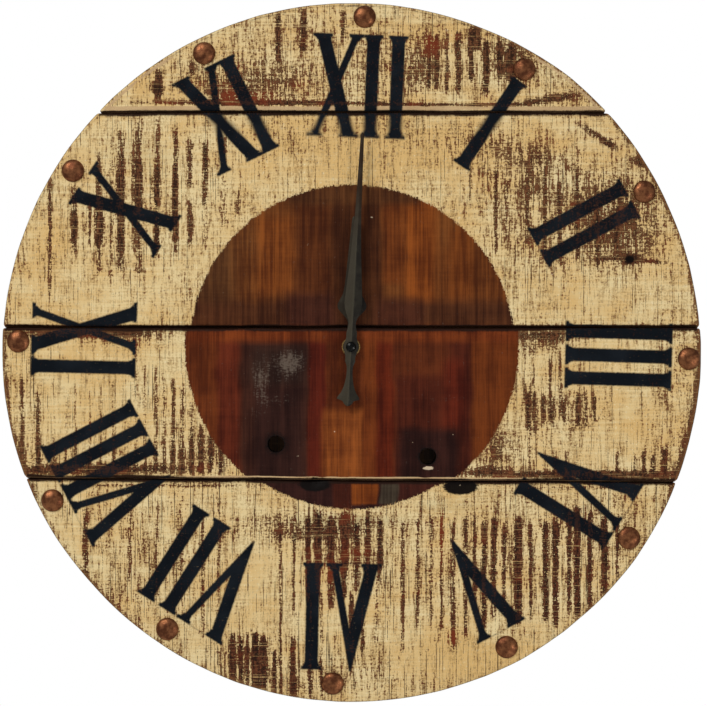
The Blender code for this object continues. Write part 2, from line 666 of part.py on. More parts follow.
minute_stations = (
    (-51.7, 0.8), (-49.6, 3.4), (-47.6, 5.2), (-45.4, 10.4), (-42.6, 8.6), (-38.5, 5.7), (-33.8, 4.0),
    (-28.9, 3.1), (-19.3, 2.6), (-13.1, 4.4), (-9.0, 4.3), (-6.0, 4.9), (-3.0, 6.0),
    (0.0, 6.4), (3.0, 6.0), (6.0, 5.0), (9.0, 4.5), (12.3, 4.7), (16.5, 3.7), (21.0, 3.0),
    (28.0, 5.3), (36.8, 7.9), (43.8, 7.5), (58.7, 6.4), (78.8, 4.6), (119.0, 2.6), (187.5, 1.4),
)
hour_stations = (
    (-7.0, 2.6), (-5.0, 5.2), (-2.5, 6.7), (0.0, 7.1), (2.5, 6.7), (5.0, 5.4), (8.0, 4.4),
    (15.0, 3.6), (22.8, 3.3), (29.0, 8.4), (32.5, 11.6), (35.9, 12.7), (40.0, 11.4),
    (45.0, 8.6), (49.0, 7.4), (70.0, 5.4), (114.0, 1.3),
)
minute_hand = hand("minute_hand", minute_stations, MINUTE_ANGLE, MINUTE_BACK, 0.5, 1.4)
combine(minute_hand, rod("minute_hand_hole", ARBOR_R + 0.1, -51.0, -55.0, CX, CZ, 24, (CX, 0.0, CZ)))
hour_hand = hand("hour_hand", hour_stations, HOUR_ANGLE, HOUR_BACK, 0.5, 1.5)
combine(hour_hand, rod("hour_hand_hole", PIPE_R + 0.1, -48.0, -52.0, CX, CZ, 24, (CX, 0.0, CZ)))

y = MINUTE_BACK - 1.55
profile = [(0.0, y - 3.0), (1.8, y - 2.85), (3.4, y - 2.2), (4.3, y - 1.2), (4.5, y), (0.0, y)]
hand_nut = lathe("hand_nut", profile, (CX, 0.0, CZ), "Y", 24, at=(CX, 0.0, CZ))
smooth(hand_nut)
paint(hand_nut, (0.03, 0.03, 0.03), 0.9, 0.3)
combine(hand_nut, rod("hand_nut_bore", ARBOR_R + 0.1, y + 1.0, ARBOR_END - 0.4, CX, CZ, 24, (CX, 0.0, CZ)))

for ob in bpy.data.objects:
    if ob.type == "MESH" and not ob.hide_render and ob.name.endswith(("wheel", "rotor")):
        smooth(ob, 25.0)
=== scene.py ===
"""Looks for the rustic plank wall clock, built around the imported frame."""

import math

import bmesh
import bpy
import numpy as np
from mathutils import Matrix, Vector
from mathutils.geometry import delaunay_2d_cdt
from mathutils.kdtree import KDTree


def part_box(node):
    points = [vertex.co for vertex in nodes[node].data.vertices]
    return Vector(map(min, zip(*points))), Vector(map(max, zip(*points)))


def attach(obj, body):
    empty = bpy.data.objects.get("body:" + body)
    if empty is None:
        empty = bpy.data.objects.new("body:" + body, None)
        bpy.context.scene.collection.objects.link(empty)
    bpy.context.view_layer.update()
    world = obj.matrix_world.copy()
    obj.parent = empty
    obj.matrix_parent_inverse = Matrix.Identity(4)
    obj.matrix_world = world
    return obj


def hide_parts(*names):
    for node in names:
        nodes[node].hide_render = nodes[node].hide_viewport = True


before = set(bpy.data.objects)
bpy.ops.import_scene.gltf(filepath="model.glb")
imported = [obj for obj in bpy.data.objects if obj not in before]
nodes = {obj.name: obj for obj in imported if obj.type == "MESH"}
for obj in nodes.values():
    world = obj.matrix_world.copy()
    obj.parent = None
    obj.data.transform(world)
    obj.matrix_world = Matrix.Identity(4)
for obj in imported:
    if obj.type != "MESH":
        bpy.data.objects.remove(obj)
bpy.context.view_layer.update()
MM = 0.001

# the dial: its centre and radius come from the boards, and the work below is in millimetres from
# its centre. PITCH and RIM_STEP are the spacing of a board's vertices on the face and round its edge,
# GRID_MARGIN is kept between the two, and a hole that goes right through ends THROUGH past the wood.
top_low, top_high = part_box("plank_top")
low_low, low_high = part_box("plank_lower")
mid_low, mid_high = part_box("plank_middle")
upper_low, upper_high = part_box("plank_upper")
CENTRE_Z = (top_high.z + low_low.z) / 2.0
DIAL_R = (top_high.z - low_low.z) / 2.0 / MM
BACK = top_high.y / MM
FRONT = top_low.y / MM
FRONT_MIDDLE = mid_low.y / MM
PITCH = 1.5
RIM_STEP = 1.2
GRID_MARGIN = 4.6
THROUGH = 1.0
INK_FAR = 9.0


def dial_z(z):
    return (z - CENTRE_Z) / MM


def node_at(name):
    """A node's middle in the dial's x and z, with its front and back, in millimetres."""
    low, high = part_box(name)
    x = (low.x + high.x) / 2.0 / MM
    return x, dial_z((low.z + high.z) / 2.0), low.y / MM, high.y / MM


def srgb(red, green, blue):
    out = []
    for c in (red / 255.0, green / 255.0, blue / 255.0):
        out.append(c / 12.92 if c <= 0.04045 else ((c + 0.055) / 1.055) ** 2.4)
    return (*out, 1.0)


def field(x, z, sx, sz, seed):
    """Smooth random lumps of about sx by sz millimetres, from -1 to 1."""
    table = np.random.default_rng(seed).uniform(-1.0, 1.0, (128, 128))
    u = x / sx + 4000.0
    v = z / sz + 4000.0
    i = np.floor(u).astype(int)
    j = np.floor(v).astype(int)
    f = u - i
    g = v - j
    f = f * f * (3.0 - 2.0 * f)
    g = g * g * (3.0 - 2.0 * g)
    i0, i1, j0, j1 = i % 128, (i + 1) % 128, j % 128, (j + 1) % 128
    low = table[i0, j0] * (1.0 - f) + table[i1, j0] * f
    high = table[i0, j1] * (1.0 - f) + table[i1, j1] * f
    return low * (1.0 - g) + high * g


def ease(value, low, high):
    t = np.clip((value - low) / (high - low), 0.0, 1.0)
    return t * t * (3.0 - 2.0 * t)


# ---------------------------------------------------------------- shader helpers

class Shade:
    """A node material, with short calls for the nodes that it is made of."""

    def __init__(self, name, metallic=0.0, rough=0.5):
        self.mat = bpy.data.materials.new(name)
        self.mat.use_nodes = True
        self.tree = self.mat.node_tree
        self.out = self.tree.nodes["Principled BSDF"]
        self.out.inputs["Metallic"].default_value = metallic
        self.out.inputs["Roughness"].default_value = rough
        self.where = self.tree.nodes.new("ShaderNodeTexCoord").outputs["Object"]

    def put(self, socket, value):
        if isinstance(value, bpy.types.NodeSocket):
            self.tree.links.new(value, socket)
        elif value is not None:
            socket.default_value = value

    def math(self, op, a, b=None, c=None):
        node = self.tree.nodes.new("ShaderNodeMath")
        node.operation = op
        for socket, value in zip(node.inputs, (a, b, c)):
            self.put(socket, value)
        return node.outputs[0]

    def add(self, *terms):
        """Sum of (socket, weight) pairs and plain numbers."""
        total = 0.0
        result = None
        for term in terms:
            if isinstance(term, tuple):
                if result is None:
                    result = self.math("MULTIPLY", term[0], term[1])
                else:
                    result = self.math("MULTIPLY_ADD", term[0], term[1], result)
            else:
                total += term
        return self.math("ADD", result, total)

    def ease(self, value, low, high, out_low=0.0, out_high=1.0):
        node = self.tree.nodes.new("ShaderNodeMapRange")
        node.interpolation_type = "SMOOTHSTEP"
        for key, item in (("Value", value), ("From Min", low), ("From Max", high),
                          ("To Min", out_low), ("To Max", out_high)):
            self.put(node.inputs[key], item)
        return node.outputs["Result"]

    def mix(self, share, a, b, mode="MIX"):
        node = self.tree.nodes.new("ShaderNodeMix")
        node.data_type = "RGBA"
        node.blend_type = mode
        self.put(node.inputs["Factor"], share)
        self.put(node.inputs[6], a)
        self.put(node.inputs[7], b)
        return node.outputs[2]

    def over(self, base, colour, value, low, high, most=1.0):
        """A colour laid over the base: none where the value is at low, the most at high."""
        return self.mix(self.ease(value, low, high, 0.0, most), base, srgb(*colour))

    def noise(self, size, seed=0.0, detail=2.0, rough=0.5, twist=0.0, turn=0.0):
        """Noise whose lumps are about size = (x, y, z) millimetres."""
        place = self.tree.nodes.new("ShaderNodeMapping")
        self.put(place.inputs["Vector"], self.where)
        place.inputs["Location"].default_value = (seed * 7.31, seed * 3.17, seed * 5.77)
        place.inputs["Rotation"].default_value = (0.0, turn, 0.0)
        place.inputs["Scale"].default_value = tuple(1.0 / (s * MM) for s in size)
        node = self.tree.nodes.new("ShaderNodeTexNoise")
        self.put(node.inputs["Vector"], place.outputs[0])
        node.inputs["Scale"].default_value = 1.0
        node.inputs["Detail"].default_value = detail
        node.inputs["Roughness"].default_value = rough
        node.inputs["Distortion"].default_value = twist
        return node.outputs["Fac"]

    def read(self, name):
        node = self.tree.nodes.new("ShaderNodeAttribute")
        node.attribute_name = name
        return node.outputs["Color"] if name == "tone" else node.outputs["Fac"]

    def bump(self, height, depth, strength=1.0):
        node = self.tree.nodes.new("ShaderNodeBump")
        node.inputs["Strength"].default_value = strength
        node.inputs["Distance"].default_value = depth * MM
        self.put(node.inputs["Height"], height)
        self.tree.links.new(node.outputs[0], self.out.inputs["Normal"])

    def set(self, **values):
        for key, value in values.items():
            self.put(self.out.inputs[key.replace("_", " ")], value)
        return self.mat


def place(name, data):
    ob = bpy.data.objects.new(name, data)
    bpy.context.scene.collection.objects.link(ob)
    return ob


def smooth(mesh, angle):
    for poly in mesh.polygons:
        poly.use_smooth = True
    mesh.set_sharp_from_angle(angle=math.radians(angle))


def vertices(ob):
    """An object's vertices in millimetres from the dial's centre."""
    points = np.empty(len(ob.data.vertices) * 3, np.float32)
    ob.data.vertices.foreach_get("co", points)
    points = points.reshape(-1, 3) / MM
    points[:, 2] -= CENTRE_Z / MM
    return points


def solid(name, verts, faces, angle=40.0):
    """A closed mesh object from millimetre coordinates measured from the dial's centre."""
    mesh = bpy.data.meshes.new(name)
    points = np.asarray(verts, float) * MM
    points[:, 2] += CENTRE_Z
    mesh.from_pydata(points.tolist(), [], faces)
    bm = bmesh.new()
    bm.from_mesh(mesh)
    bmesh.ops.recalc_face_normals(bm, faces=bm.faces)
    bm.to_mesh(mesh)
    bm.free()
    smooth(mesh, angle)
    return place(name, mesh)


def cut(ob, tool):
    mod = ob.modifiers.new("cut", "BOOLEAN")
    mod.operation = "DIFFERENCE"
    mod.solver = "EXACT"
    mod.object = tool
    bpy.context.view_layer.update()
    made = bpy.data.meshes.new_from_object(ob.evaluated_get(bpy.context.evaluated_depsgraph_get()))
    ob.modifiers.clear()
    ob.data = made
    bpy.data.objects.remove(tool, do_unlink=True)


def turned(name, profile, x, z, segments=48, wobble=0.0, seed=1, angle=40.0):
    """A turned solid about the y direction from (radius, y) pairs, with slight dents."""
    verts = []
    rings = []
    for r, y in profile:
        if r == 0.0:
            rings.append([len(verts)])
            verts.append((x, y, z))
            continue
        rings.append(list(range(len(verts), len(verts) + segments)))
        for k in range(segments):
            a = 2.0 * math.pi * k / segments
            verts.append((x + r * math.cos(a), y, z + r * math.sin(a)))
    faces = []
    for a, b in zip(rings, rings[1:]):
        for k in range(segments):
            m = (k + 1) % segments
            if len(a) == 1:
                faces.append((a[0], b[k], b[m]))
            elif len(b) == 1:
                faces.append((a[k], b[0], a[m]))
            else:
                faces.append((a[k], b[k], b[m], a[m]))
    points = np.array(verts)
    if wobble:
        dent = field(points[:, 0], points[:, 2], 4.2, 4.2, seed)
        dent = dent + 0.5 * field(points[:, 0], points[:, 2], 1.9, 1.9, seed + 1)
        points[:, 1] += wobble * dent
    return solid(name, points, faces, angle)


# ---------------------------------------------------------------- the boards' outlines

# where the sawn rim strays from a true circle: degrees clockwise from twelve, millimetres
RIM_STRAY = (
    (0, 0.0), (24, 0.1), (39, 1.3), (54, 0.0), (66, -1.0), (80, -1.3), (92, -0.9), (106, -1.3),
    (118, 0.2), (128, 0.9), (140, 0.5), (150, 0.9), (164, 0.1), (200, 0.0), (218, -0.6),
    (228, -1.0), (242, 0.1), (300, 0.2),
)
RIM_GROW = 1.4
RIM_SHIFT = (-1.05, 0.5)

# the boards' long edges bow and nearly meet behind the face, so no light comes through
EDGE_BOW = 1.6
EDGE_SWELL = 0.55
BACK_EASE = 0.3
LOWER_SEAM_RISE = 3.7


def rim(a):
    """The rim's radius at an angle clockwise from twelve, in radians."""
    stray = np.interp(np.degrees(a) % 360.0, *zip(*RIM_STRAY), period=360.0)
    chatter = 0.18 * field(np.degrees(a) % 360.0, a * 0.0, 2.1, 1.0, 11)
    shift = RIM_SHIFT[0] * np.sin(a) + RIM_SHIFT[1] * np.cos(a)
    return DIAL_R + RIM_GROW + stray + chatter + shift


def seam(level, seed, own, rise=0.0):
    """A nearly level sawn edge as a function of x; rise is how much higher its left end is."""
    def edge(x):
        wave = 0.35 * field(x, x * 0.0, 41.0, 1.0, seed) + 0.13 * field(x, x * 0.0, 7.0, 1.0, own)
        return level + rise * (0.5 - x / (2.0 * DIAL_R)) + wave
    return edge


def crossing(edge, start, end):
    a = np.linspace(start, end, 6001)
    gap = rim(a) * np.cos(a) - edge(rim(a) * np.sin(a))
    k = int(np.argmax(np.sign(gap[1:]) != np.sign(gap[:-1])))
    share = gap[k] / (gap[k] - gap[k + 1])
    return a[k] + share * (a[1] - a[0])


def outline(low, high):
    """The board's outline, clockwise, with its corners eased. None leaves a side on the rim."""
    parts = []

    def along(edge, a0, a1):
        x0 = rim(a0) * math.sin(a0)
        x1 = rim(a1) * math.sin(a1)
        x = np.linspace(x0, x1, 1200)
        parts.append(np.stack([x, edge(x)], 1))

    def around(a0, a1):
        a = np.linspace(a0, a1, 1600)
        parts.append(np.stack([rim(a) * np.sin(a), rim(a) * np.cos(a)], 1))

    if high is not None:
        right_high = crossing(high, 0.0, math.pi)
        left_high = crossing(high, 2.0 * math.pi, math.pi)
        along(high, left_high, right_high)
    if low is not None:
        right_low = crossing(low, 0.0, math.pi)
        left_low = crossing(low, 2.0 * math.pi, math.pi)
    if high is None:
        around(left_low - 2.0 * math.pi, right_low)
        along(low, right_low, left_low)
    elif low is None:
        around(right_high, left_high)
    else:
        around(right_high, right_low)
        along(low, right_low, left_low)
        around(left_low, left_high)
    path = np.concatenate(parts)
    step = np.linalg.norm(np.diff(path, axis=0, append=path[:1]), axis=1)
    path = path[step > 1e-4]
    step = np.linalg.norm(np.diff(path, axis=0, append=path[:1]), axis=1)
    run = np.concatenate([[0.0], np.cumsum(step)])
    count = int(run[-1] / RIM_STEP)
    closed = np.concatenate([path, path[:1]])
    at = np.linspace(0.0, run[-1], count, endpoint=False)
    path = np.stack([np.interp(at, run, closed[:, i]) for i in (0, 1)], 1)
    for _ in range(3):
        path = 0.5 * path + 0.25 * (np.roll(path, 1, 0) + np.roll(path, -1, 0))
    return path


def nearest(points, path):
    """Distance from each point to a closed path of short steps."""
    tree = KDTree(len(path))
    for k, (x, z) in enumerate(path):
        tree.insert((x, 0.0, z), k)
    tree.balance()
    first = np.array([tree.find((x, 0.0, z))[1] for x, z in points])
    best = np.full(len(points), 1e9)
    for shift in (-1, 0):
        a = path[(first + shift) % len(path)]
        b = path[(first + shift + 1) % len(path)]
        way = b - a
        t = np.clip(((points - a) * way).sum(1) / (way * way).sum(1), 0.0, 1.0)
        best = np.minimum(best, np.linalg.norm(points - a - t[:, None] * way, axis=1))
    return best


def triangles(points, loops):
    """Triangles that fill the first loop and leave the others open."""
    coords = [Vector(p) for p in points]
    edges = []
    for loop in loops:
        edges += [(loop[k], loop[(k + 1) % len(loop)]) for k in range(len(loop))]
    found = delaunay_2d_cdt(coords, edges, [], 1, 1e-6, True)
    source = [ids[0] for ids in found[3]]
    inside = {}
    for number, loop in enumerate(loops[1:]):
        for k in loop:
            inside[k] = number
    out = []
    for face in found[2]:
        tri = tuple(source[k] for k in face)
        ring = {inside.get(k, -1) for k in tri}
        if len(ring) == 1 and -1 not in ring:
            continue
        out.append(tri)
    return out


def circle(x, z, r, count):
    a = np.arange(count) * 2.0 * math.pi / count
    return np.stack([x + r * np.cos(a), z + r * np.sin(a)], 1)


def build_board(name, low, high, front, holes, seed):
    """A dense sawn board. holes: (x, z, radius, y it starts at, y it ends at)."""
    path = outline(low, high)
    n = len(path)
    way = np.roll(path, -1, 0) - np.roll(path, 1, 0)
    way /= np.linalg.norm(way, axis=1)[:, None]
    inward = np.stack([way[:, 1], -way[:, 0]], 1)
    points = [path]
    loops = [list(range(n))]
    for inset in (0.3, 0.8, 1.5, 2.4, 3.5):
        ring = path + inset * inward
        points.append(ring[nearest(ring, path) > 0.93 * inset])
    x0, x1 = path[:, 0].min(), path[:, 0].max()
    z0, z1 = path[:, 1].min(), path[:, 1].max()
    rows = np.arange(z0, z1, PITCH * 0.9)
    grid = []
    for k, z in enumerate(rows):
        x = np.arange(x0 + (k % 2) * PITCH / 2.0, x1, PITCH)
        grid.append(np.stack([x, np.full(len(x), z)], 1))
    grid = np.concatenate(grid)
    a = np.arctan2(grid[:, 0], grid[:, 1])
    in_rim = np.hypot(grid[:, 0], grid[:, 1]) < rim(a) - GRID_MARGIN
    above = grid[:, 1] > (low(grid[:, 0]) + GRID_MARGIN if low else -1e9)
    below = grid[:, 1] < (high(grid[:, 0]) - GRID_MARGIN if high else 1e9)
    grid = grid[in_rim & above & below]
    face_holes = [h for h in holes if h[3] < front + 0.5]
    rear_holes = [h for h in holes if h[4] > BACK - 0.5]
    for x, z, r, *_ in face_holes:
        clear = np.hypot(grid[:, 0] - x, grid[:, 1] - z)
        grid = grid[clear > r + 1.5]
    points.append(grid)
    count = sum(len(p) for p in points)
    sides = {h: 40 if h[2] > 4.0 else 14 for h in holes}
    face_loops = {}
    for h in face_holes:
        ring = circle(h[0], h[1], h[2], sides[h])
        face_loops[h] = list(range(count, count + len(ring)))
        loops.append(face_loops[h])
        points.append(ring)
        points.append(circle(h[0], h[1], h[2] + 0.7, sides[h]))
        count += 2 * len(ring)
    flat = np.concatenate(points)
    faces = triangles(flat, loops)

    # the face: rounded edges, long shallow hollows, ridges left across the grain by the saw
    depth = nearest(flat, path)
    depth[:n] = 0.0
    x, z = flat[:, 0], flat[:, 1]
    radius = 2.2 + 0.8 * field(x, z, 26.0, 26.0, seed)
    rest = np.clip(radius - depth, 0.0, None)
    drop = radius - np.sqrt(np.clip(radius ** 2 - rest ** 2, 0.0, None))
    relief = 0.28 * field(x, z, 60.0, 24.0, seed + 1) + 0.10 * field(x, z, 3.4, 60.0, seed + 2)
    relief += 0.07 * field(x, z, 30.0, 3.2, seed + 3)
    relief += 0.05 * field(x, z, 2.2, 18.0, seed + 4)
    for cx, cz, rx, rz, deep in DENTS:
        relief += deep * np.exp(-(((x - cx) / rx) ** 2 + ((z - cz) / rz) ** 2))
    y = front + drop + relief
    verts = [np.stack([x, y, z], 1)]
    total = len(flat)

    # the sawn sides, down to the back
    ring_ids = [list(range(n))]
    y_edge = y[:n]
    run = np.arange(n) * RIM_STEP
    a = np.arctan2(path[:, 0], path[:, 1])
    joint = (np.abs(np.hypot(path[:, 0], path[:, 1]) - rim(a)) > 0.9).astype(float)
    joint = 0.5 * joint + 0.25 * (np.roll(joint, 1) + np.roll(joint, -1))
    for share in (0.08, 0.2, 0.4, 0.6, 0.8, 0.95, 1.0):
        yy = y_edge + (BACK - y_edge) * share
        chatter = 0.16 * field(run, yy, 3.0, 9.0, seed + 5)
        chatter = chatter + 0.10 * field(run, yy, 9.0, 2.4, seed + 6)
        swell = EDGE_SWELL * min(1.0, share / 0.2) if share < 0.9 else -BACK_EASE
        out = chatter * (1.0 - 0.7 * joint) * (share < 1.0) + swell * joint
        p = path - out[:, None] * inward
        p[:, 1] -= EDGE_BOW * 2.0 * min(share, 1.0 - share) * joint
        verts.append(np.stack([p[:, 0], yy, p[:, 1]], 1))
        ring_ids.append(list(range(total, total + n)))
        total += n
    for a, b in zip(ring_ids, ring_ids[1:]):
        faces += [(a[k], a[(k + 1) % n], b[(k + 1) % n], b[k]) for k in range(n)]

    # the back and the holes' walls
    rear = [p]
    rear_loops = {}
    lists = [list(range(n))]
    count = n
    for h in rear_holes:
        ring = circle(h[0], h[1], h[2], sides[h])
        lists.append(list(range(count, count + len(ring))))
        rear_loops[h] = [total + k - n for k in lists[-1]]
        rear.append(ring)
        count += len(ring)
    ids = ring_ids[-1] + list(range(total, total + count - n))
    rear = np.concatenate(rear)
    faces += [tuple(ids[k] for k in tri) for tri in triangles(rear, lists)]
    if count > n:
        extra = rear[n:]
        verts.append(np.stack([extra[:, 0], np.full(len(extra), BACK), extra[:, 1]], 1))
        total += len(extra)
    for h in holes:
        m = sides[h]
        a = face_loops.get(h)
        b = rear_loops.get(h)
        if a is None or b is None:
            end = h[4] if b is None else h[3]
            ring = circle(h[0], h[1], h[2], m)
            verts.append(np.stack([ring[:, 0], np.full(m, end), ring[:, 1]], 1))
            last = list(range(total, total + m))
            total += m
            faces.append(tuple(last))
            a, b = (a, last) if b is None else (last, b)
        faces += [(a[k], a[(k + 1) % m], b[(k + 1) % m], b[k]) for k in range(m)]
    ob = solid(name, np.concatenate(verts), faces, 52.0)
    mark_board(ob, flat, depth)
    return ob


# ---------------------------------------------------------------- what is painted and worn where

# hollows in the face: x, z, half width, half height, depth
DENTS = (
    (-34.0, -112.5, 10.0, 5.0, 2.2), (96.0, -117.0, 9.0, 4.5, 1.6), (242.0, 82.0, 4.5, 3.5, 0.7),
    (211.0, 192.0, 12.0, 3.0, 0.4), (65.5, -100.5, 5.0, 1.6, 0.35),
)

# vertical scrapes: x, top, bottom, width, strength
STREAKS = (
    (-44, 299, 265, 5, 0.7), (-66, 295, 257, 4, 0.7), (-9, 299, 274, 4, 0.6), (-171, 246, 221, 6, 0.8),
    (-142, 255, 246, 4, 0.5), (66, 277, 232, 2, 0.7), (73, 277, 232, 3.2, 0.8), (82, 280, 229, 3, 0.7),
    (92, 280, 229, 5, 0.6), (103, 283, 240, 4, 0.9), (108, 286, 267, 6, 0.9), (116, 271, 229, 5, 0.9),
    (128, 271, 243, 4, 0.7), (138, 270, 238, 8, 0.5), (184, 277, 267, 5, 0.6),
    (-266, 151, 48, 3.5, 0.6), (-245, 146, 87, 4.4, 0.55), (-245, 124, 98, 5, 0.4),
    (-231, 130, 95, 2.5, 0.6), (-223, 175, 70, 3.5, 0.6), (-223, 135, 95, 8, 0.6),
    (-212, 189, 60, 3, 0.35), (-204, 194, 73, 6, 0.6), (-204, 158, 93, 6, 0.4),
    (-193, 196, 88, 3, 0.35), (-188, 206, 69, 5, 0.5), (-188, 168, 126, 6, 0.5),
    (-177, 153, 125, 3, 0.3), (-172, 206, 84, 4, 0.5), (-172, 161, 132, 5, 0.5),
    (-172, 112, 93, 5, 0.5), (-156, 196, 87, 4.5, 0.55), (-156, 165, 100, 5, 0.4),
    (-143, 185, 146, 4.5, 0.7), (-143, 132, 95, 4.5, 0.7), (-130, 185, 132, 5, 0.7),
    (-130, 132, 91, 4, 0.4), (-114, 189, 175, 5, 0.5), (-114, 154, 110, 5, 0.4),
    (-101, 143, 123, 4, 0.4), (125, 160, 88, 3, 0.4), (134, 150, 100, 3, 0.35),
    (152, 166, 96, 3, 0.4), (168, 160, 80, 3, 0.4), (181, 150, 78, 4, 0.4), (196, 158, 84, 3, 0.4),
    (214, 140, 74, 3, 0.4), (230, 120, 90, 3, 0.35),
    (-290, -23, -95, 3, 0.5), (-276, -35, -101, 3.5, 0.6), (-262, -10, -102, 2, 0.4),
    (-252, -20, -102, 2, 0.45), (-243, -24, -102, 2.5, 0.45), (-231, -12, -98, 2.5, 0.4),
    (-221, -30, -100, 2, 0.4), (-210, -24, -102, 3, 0.5), (-197, -60, -102, 2.5, 0.45),
    (-190, 10, -90, 2.5, 0.4), (-183, -12, -100, 2.5, 0.45), (-173, -14, -102, 3.5, 0.55),
    (-166, -20, -102, 3, 0.5), (-158, -24, -102, 3.5, 0.6), (-150, -30, -104, 3.5, 0.6),
    (-142, -45, -104, 3.5, 0.6), (-134, -62, -104, 4, 0.6), (-125, -70, -104, 4, 0.6),
    (-116, -82, -106, 4, 0.6), (231, -88, -108, 3, 0.7), (246, -90, -108, 3.5, 0.7),
    (254, -86, -108, 3.5, 0.75), (262, -90, -108, 3.5, 0.7), (272, -84, -108, 5, 0.8),
    (176, -90, -108, 3, 0.5), (186, -88, -108, 3, 0.5), (150, 8, -40, 2.5, 0.45),
    (158, 4, -30, 2.5, 0.45), (172, -4, -60, 3, 0.5), (181, -4, -55, 3, 0.5),
    (152, -37, -66, 2.5, 0.6), (158, -34, -70, 2.2, 0.6), (166, -37, -62, 3, 0.6),
    (175, -36, -66, 2.5, 0.5), (184, -40, -60, 3, 0.5), (196, -37, -62, 3, 0.6),
    (203, -34, -64, 2.5, 0.5), (211, -38, -60, 3, 0.5), (154, 8, -104, 2, 0.4),
    (-40, -146, -216, 4, 0.7), (-31, -140, -210, 5, 0.8), (-20, -146, -222, 5, 0.8),
    (-8, -142, -214, 5, 0.8), (3, -150, -210, 4, 0.7), (12, -140, -206, 4, 0.6),
    (23, -146, -200, 4, 0.6), (43, -150, -262, 3.2, 0.6), (56, -146, -240, 3, 0.55),
    (68, -146, -236, 2.5, 0.5), (77, -146, -242, 2.2, 0.5), (87, -150, -262, 3.6, 0.65),
    (98, -144, -248, 3, 0.6), (106, -144, -215, 3, 0.6), (114, -150, -240, 4, 0.7),
    (123, -146, -232, 4, 0.7), (132, -150, -228, 3, 0.6), (144, -146, -236, 6, 0.85),
    (155, -150, -232, 3, 0.6), (168, -150, -234, 4.5, 0.8), (177, -150, -238, 5, 0.85),
    (189, -140, -226, 3.5, 0.65), (196, -136, -229, 5, 0.8), (207, -140, -223, 3.5, 0.7),
    (220, -146, -211, 4.5, 0.75), (231, -150, -196, 3, 0.5), (-235, -136, -204, 4.5, 0.6),
    (-106, -246, -290, 4, 0.8), (-99, -250, -292, 3, 0.7), (-93, -246, -294, 2.5, 0.6),
    (-86, -246, -295, 5.5, 0.9), (-79, -250, -296, 5, 0.85), (-69, -262, -298, 3, 0.7),
    (-64, -150, -298, 2.5, 0.5), (-53, -250, -300, 5, 0.75), (-38, -212, -300, 3, 0.55),
    (-28, -212, -300, 3, 0.5), (-2, -212, -262, 4, 0.6), (8, -215, -262, 3, 0.55),
    (20, -205, -255, 3, 0.5), (-52, -160, -232, 3, 0.5),
    (-150, -120, -230, 3, 0.35), (-172, -128, -212, 3, 0.35), (-196, -128, -200, 3, 0.35),
    (-132, -140, -250, 3, 0.35), (-118, -128, -240, 2.5, 0.3),
)

# worn areas: x, z, half width, half height, turn in degrees, strength
WORN = (
    (-78, 238, 58, 22, 0, 0.42), (-104, 226, 26, 12, 0, 0.22), (-40, 250, 40, 40, 0, 0.14),
    (-140, 236, 60, 18, -30, 0.22), (58, 252, 18, 26, 0, 0.42), (20, 244, 30, 34, 0, 0.30),
    (110, 250, 40, 30, 0, 0.22), (140, 254, 18, 20, 0, 0.40), (176, 240, 40, 20, -30, 0.26),
    (-112, 219.5, 92, 2.4, 0, 0.75), (-20, 218.5, 70, 1.6, 0, 0.6), (96, 217.5, 70, 1.5, 0, 0.75),
    (0, 285, 200, 20, 0, 0.10), (168, 222, 26, 3.4, 8, 0.8), (-172, 232, 6, 6, 0, 0.8),
    (-180, 130, 90, 50, 0, 0.10), (182, 118, 66, 46, 0, 0.36), (232, 120, 40, 40, 0, 0.28),
    (250, 168, 8, 4.5, -20, 0.6), (140, 170, 60, 26, -20, 0.20), (250, 120, 26, 60, 0, 0.20),
    (211, 192, 20, 3.2, -32, 0.6), (224, 183, 8, 4, -30, 0.7), (152, 172, 50, 10, -14, 0.22),
    (242, 82, 8, 5, 0, 0.8), (228, 83, 18, 1.6, 4, 0.7), (262, 80, 16, 1.6, -6, 0.6),
    (-200, 40, 80, 14, 0, -0.06), (210, 45, 60, 16, 0, -0.10), (0, 165, 80, 20, 0, -0.04),
    (0, 190, 180, 18, 0, 0.12), (164, 12, 24, 12, 0, 0.45), (-222, -102, 78, 5, 0, 0.95),
    (-222, -92, 78, 10, 0, 0.20), (-285, -60, 14, 50, 0, 0.24), (-225, -45, 70, 60, 0, -0.10),
    (-132, -88, 24, 22, -35, 0.26), (-165, -40, 30, 70, 0, 0.02), (-245, 17.5, 74, 4.6, 0, 0.85),
    (-200, 13, 40, 8, 0, 0.35), (250, -63, 38, 22, 0, -0.10), (205, -106.5, 86, 4.0, 0, 0.95),
    (108, -104, 30, 5, 0, 0.6), (122, -84, 22, 18, 40, 0.42),
    (165, -70, 40, 40, 0, 0.16), (190, 16, 100, 5, 0, 0.35),
    (158, -50, 12, 20, 0, 0.2), (200, -50, 24, 20, 0, 0.22), (278, -20, 20, 90, 0, 0.22),
    (-175, -175, 80, 50, 35, 0.14), (-6, -174, 40, 28, 0, 0.30), (150, -180, 110, 52, 0, 0.16),
    (-92, -268, 30, 26, 0, 0.30), (100, -268, 70, 14, 6, -0.16), (0, -148, 90, 8, 0, 0.16),
    (-30, -158, 40, 6, 4, 0.35), (-150, -116, 90, 1.8, 0, 0.5), (-60, -150, 60, 14, 6, 0.30),
    (200, -118, 50, 1.6, 0, 0.4), (0, -285, 70, 16, 0, 0.24), (215, -150, 50, 30, 0, 0.20),
)

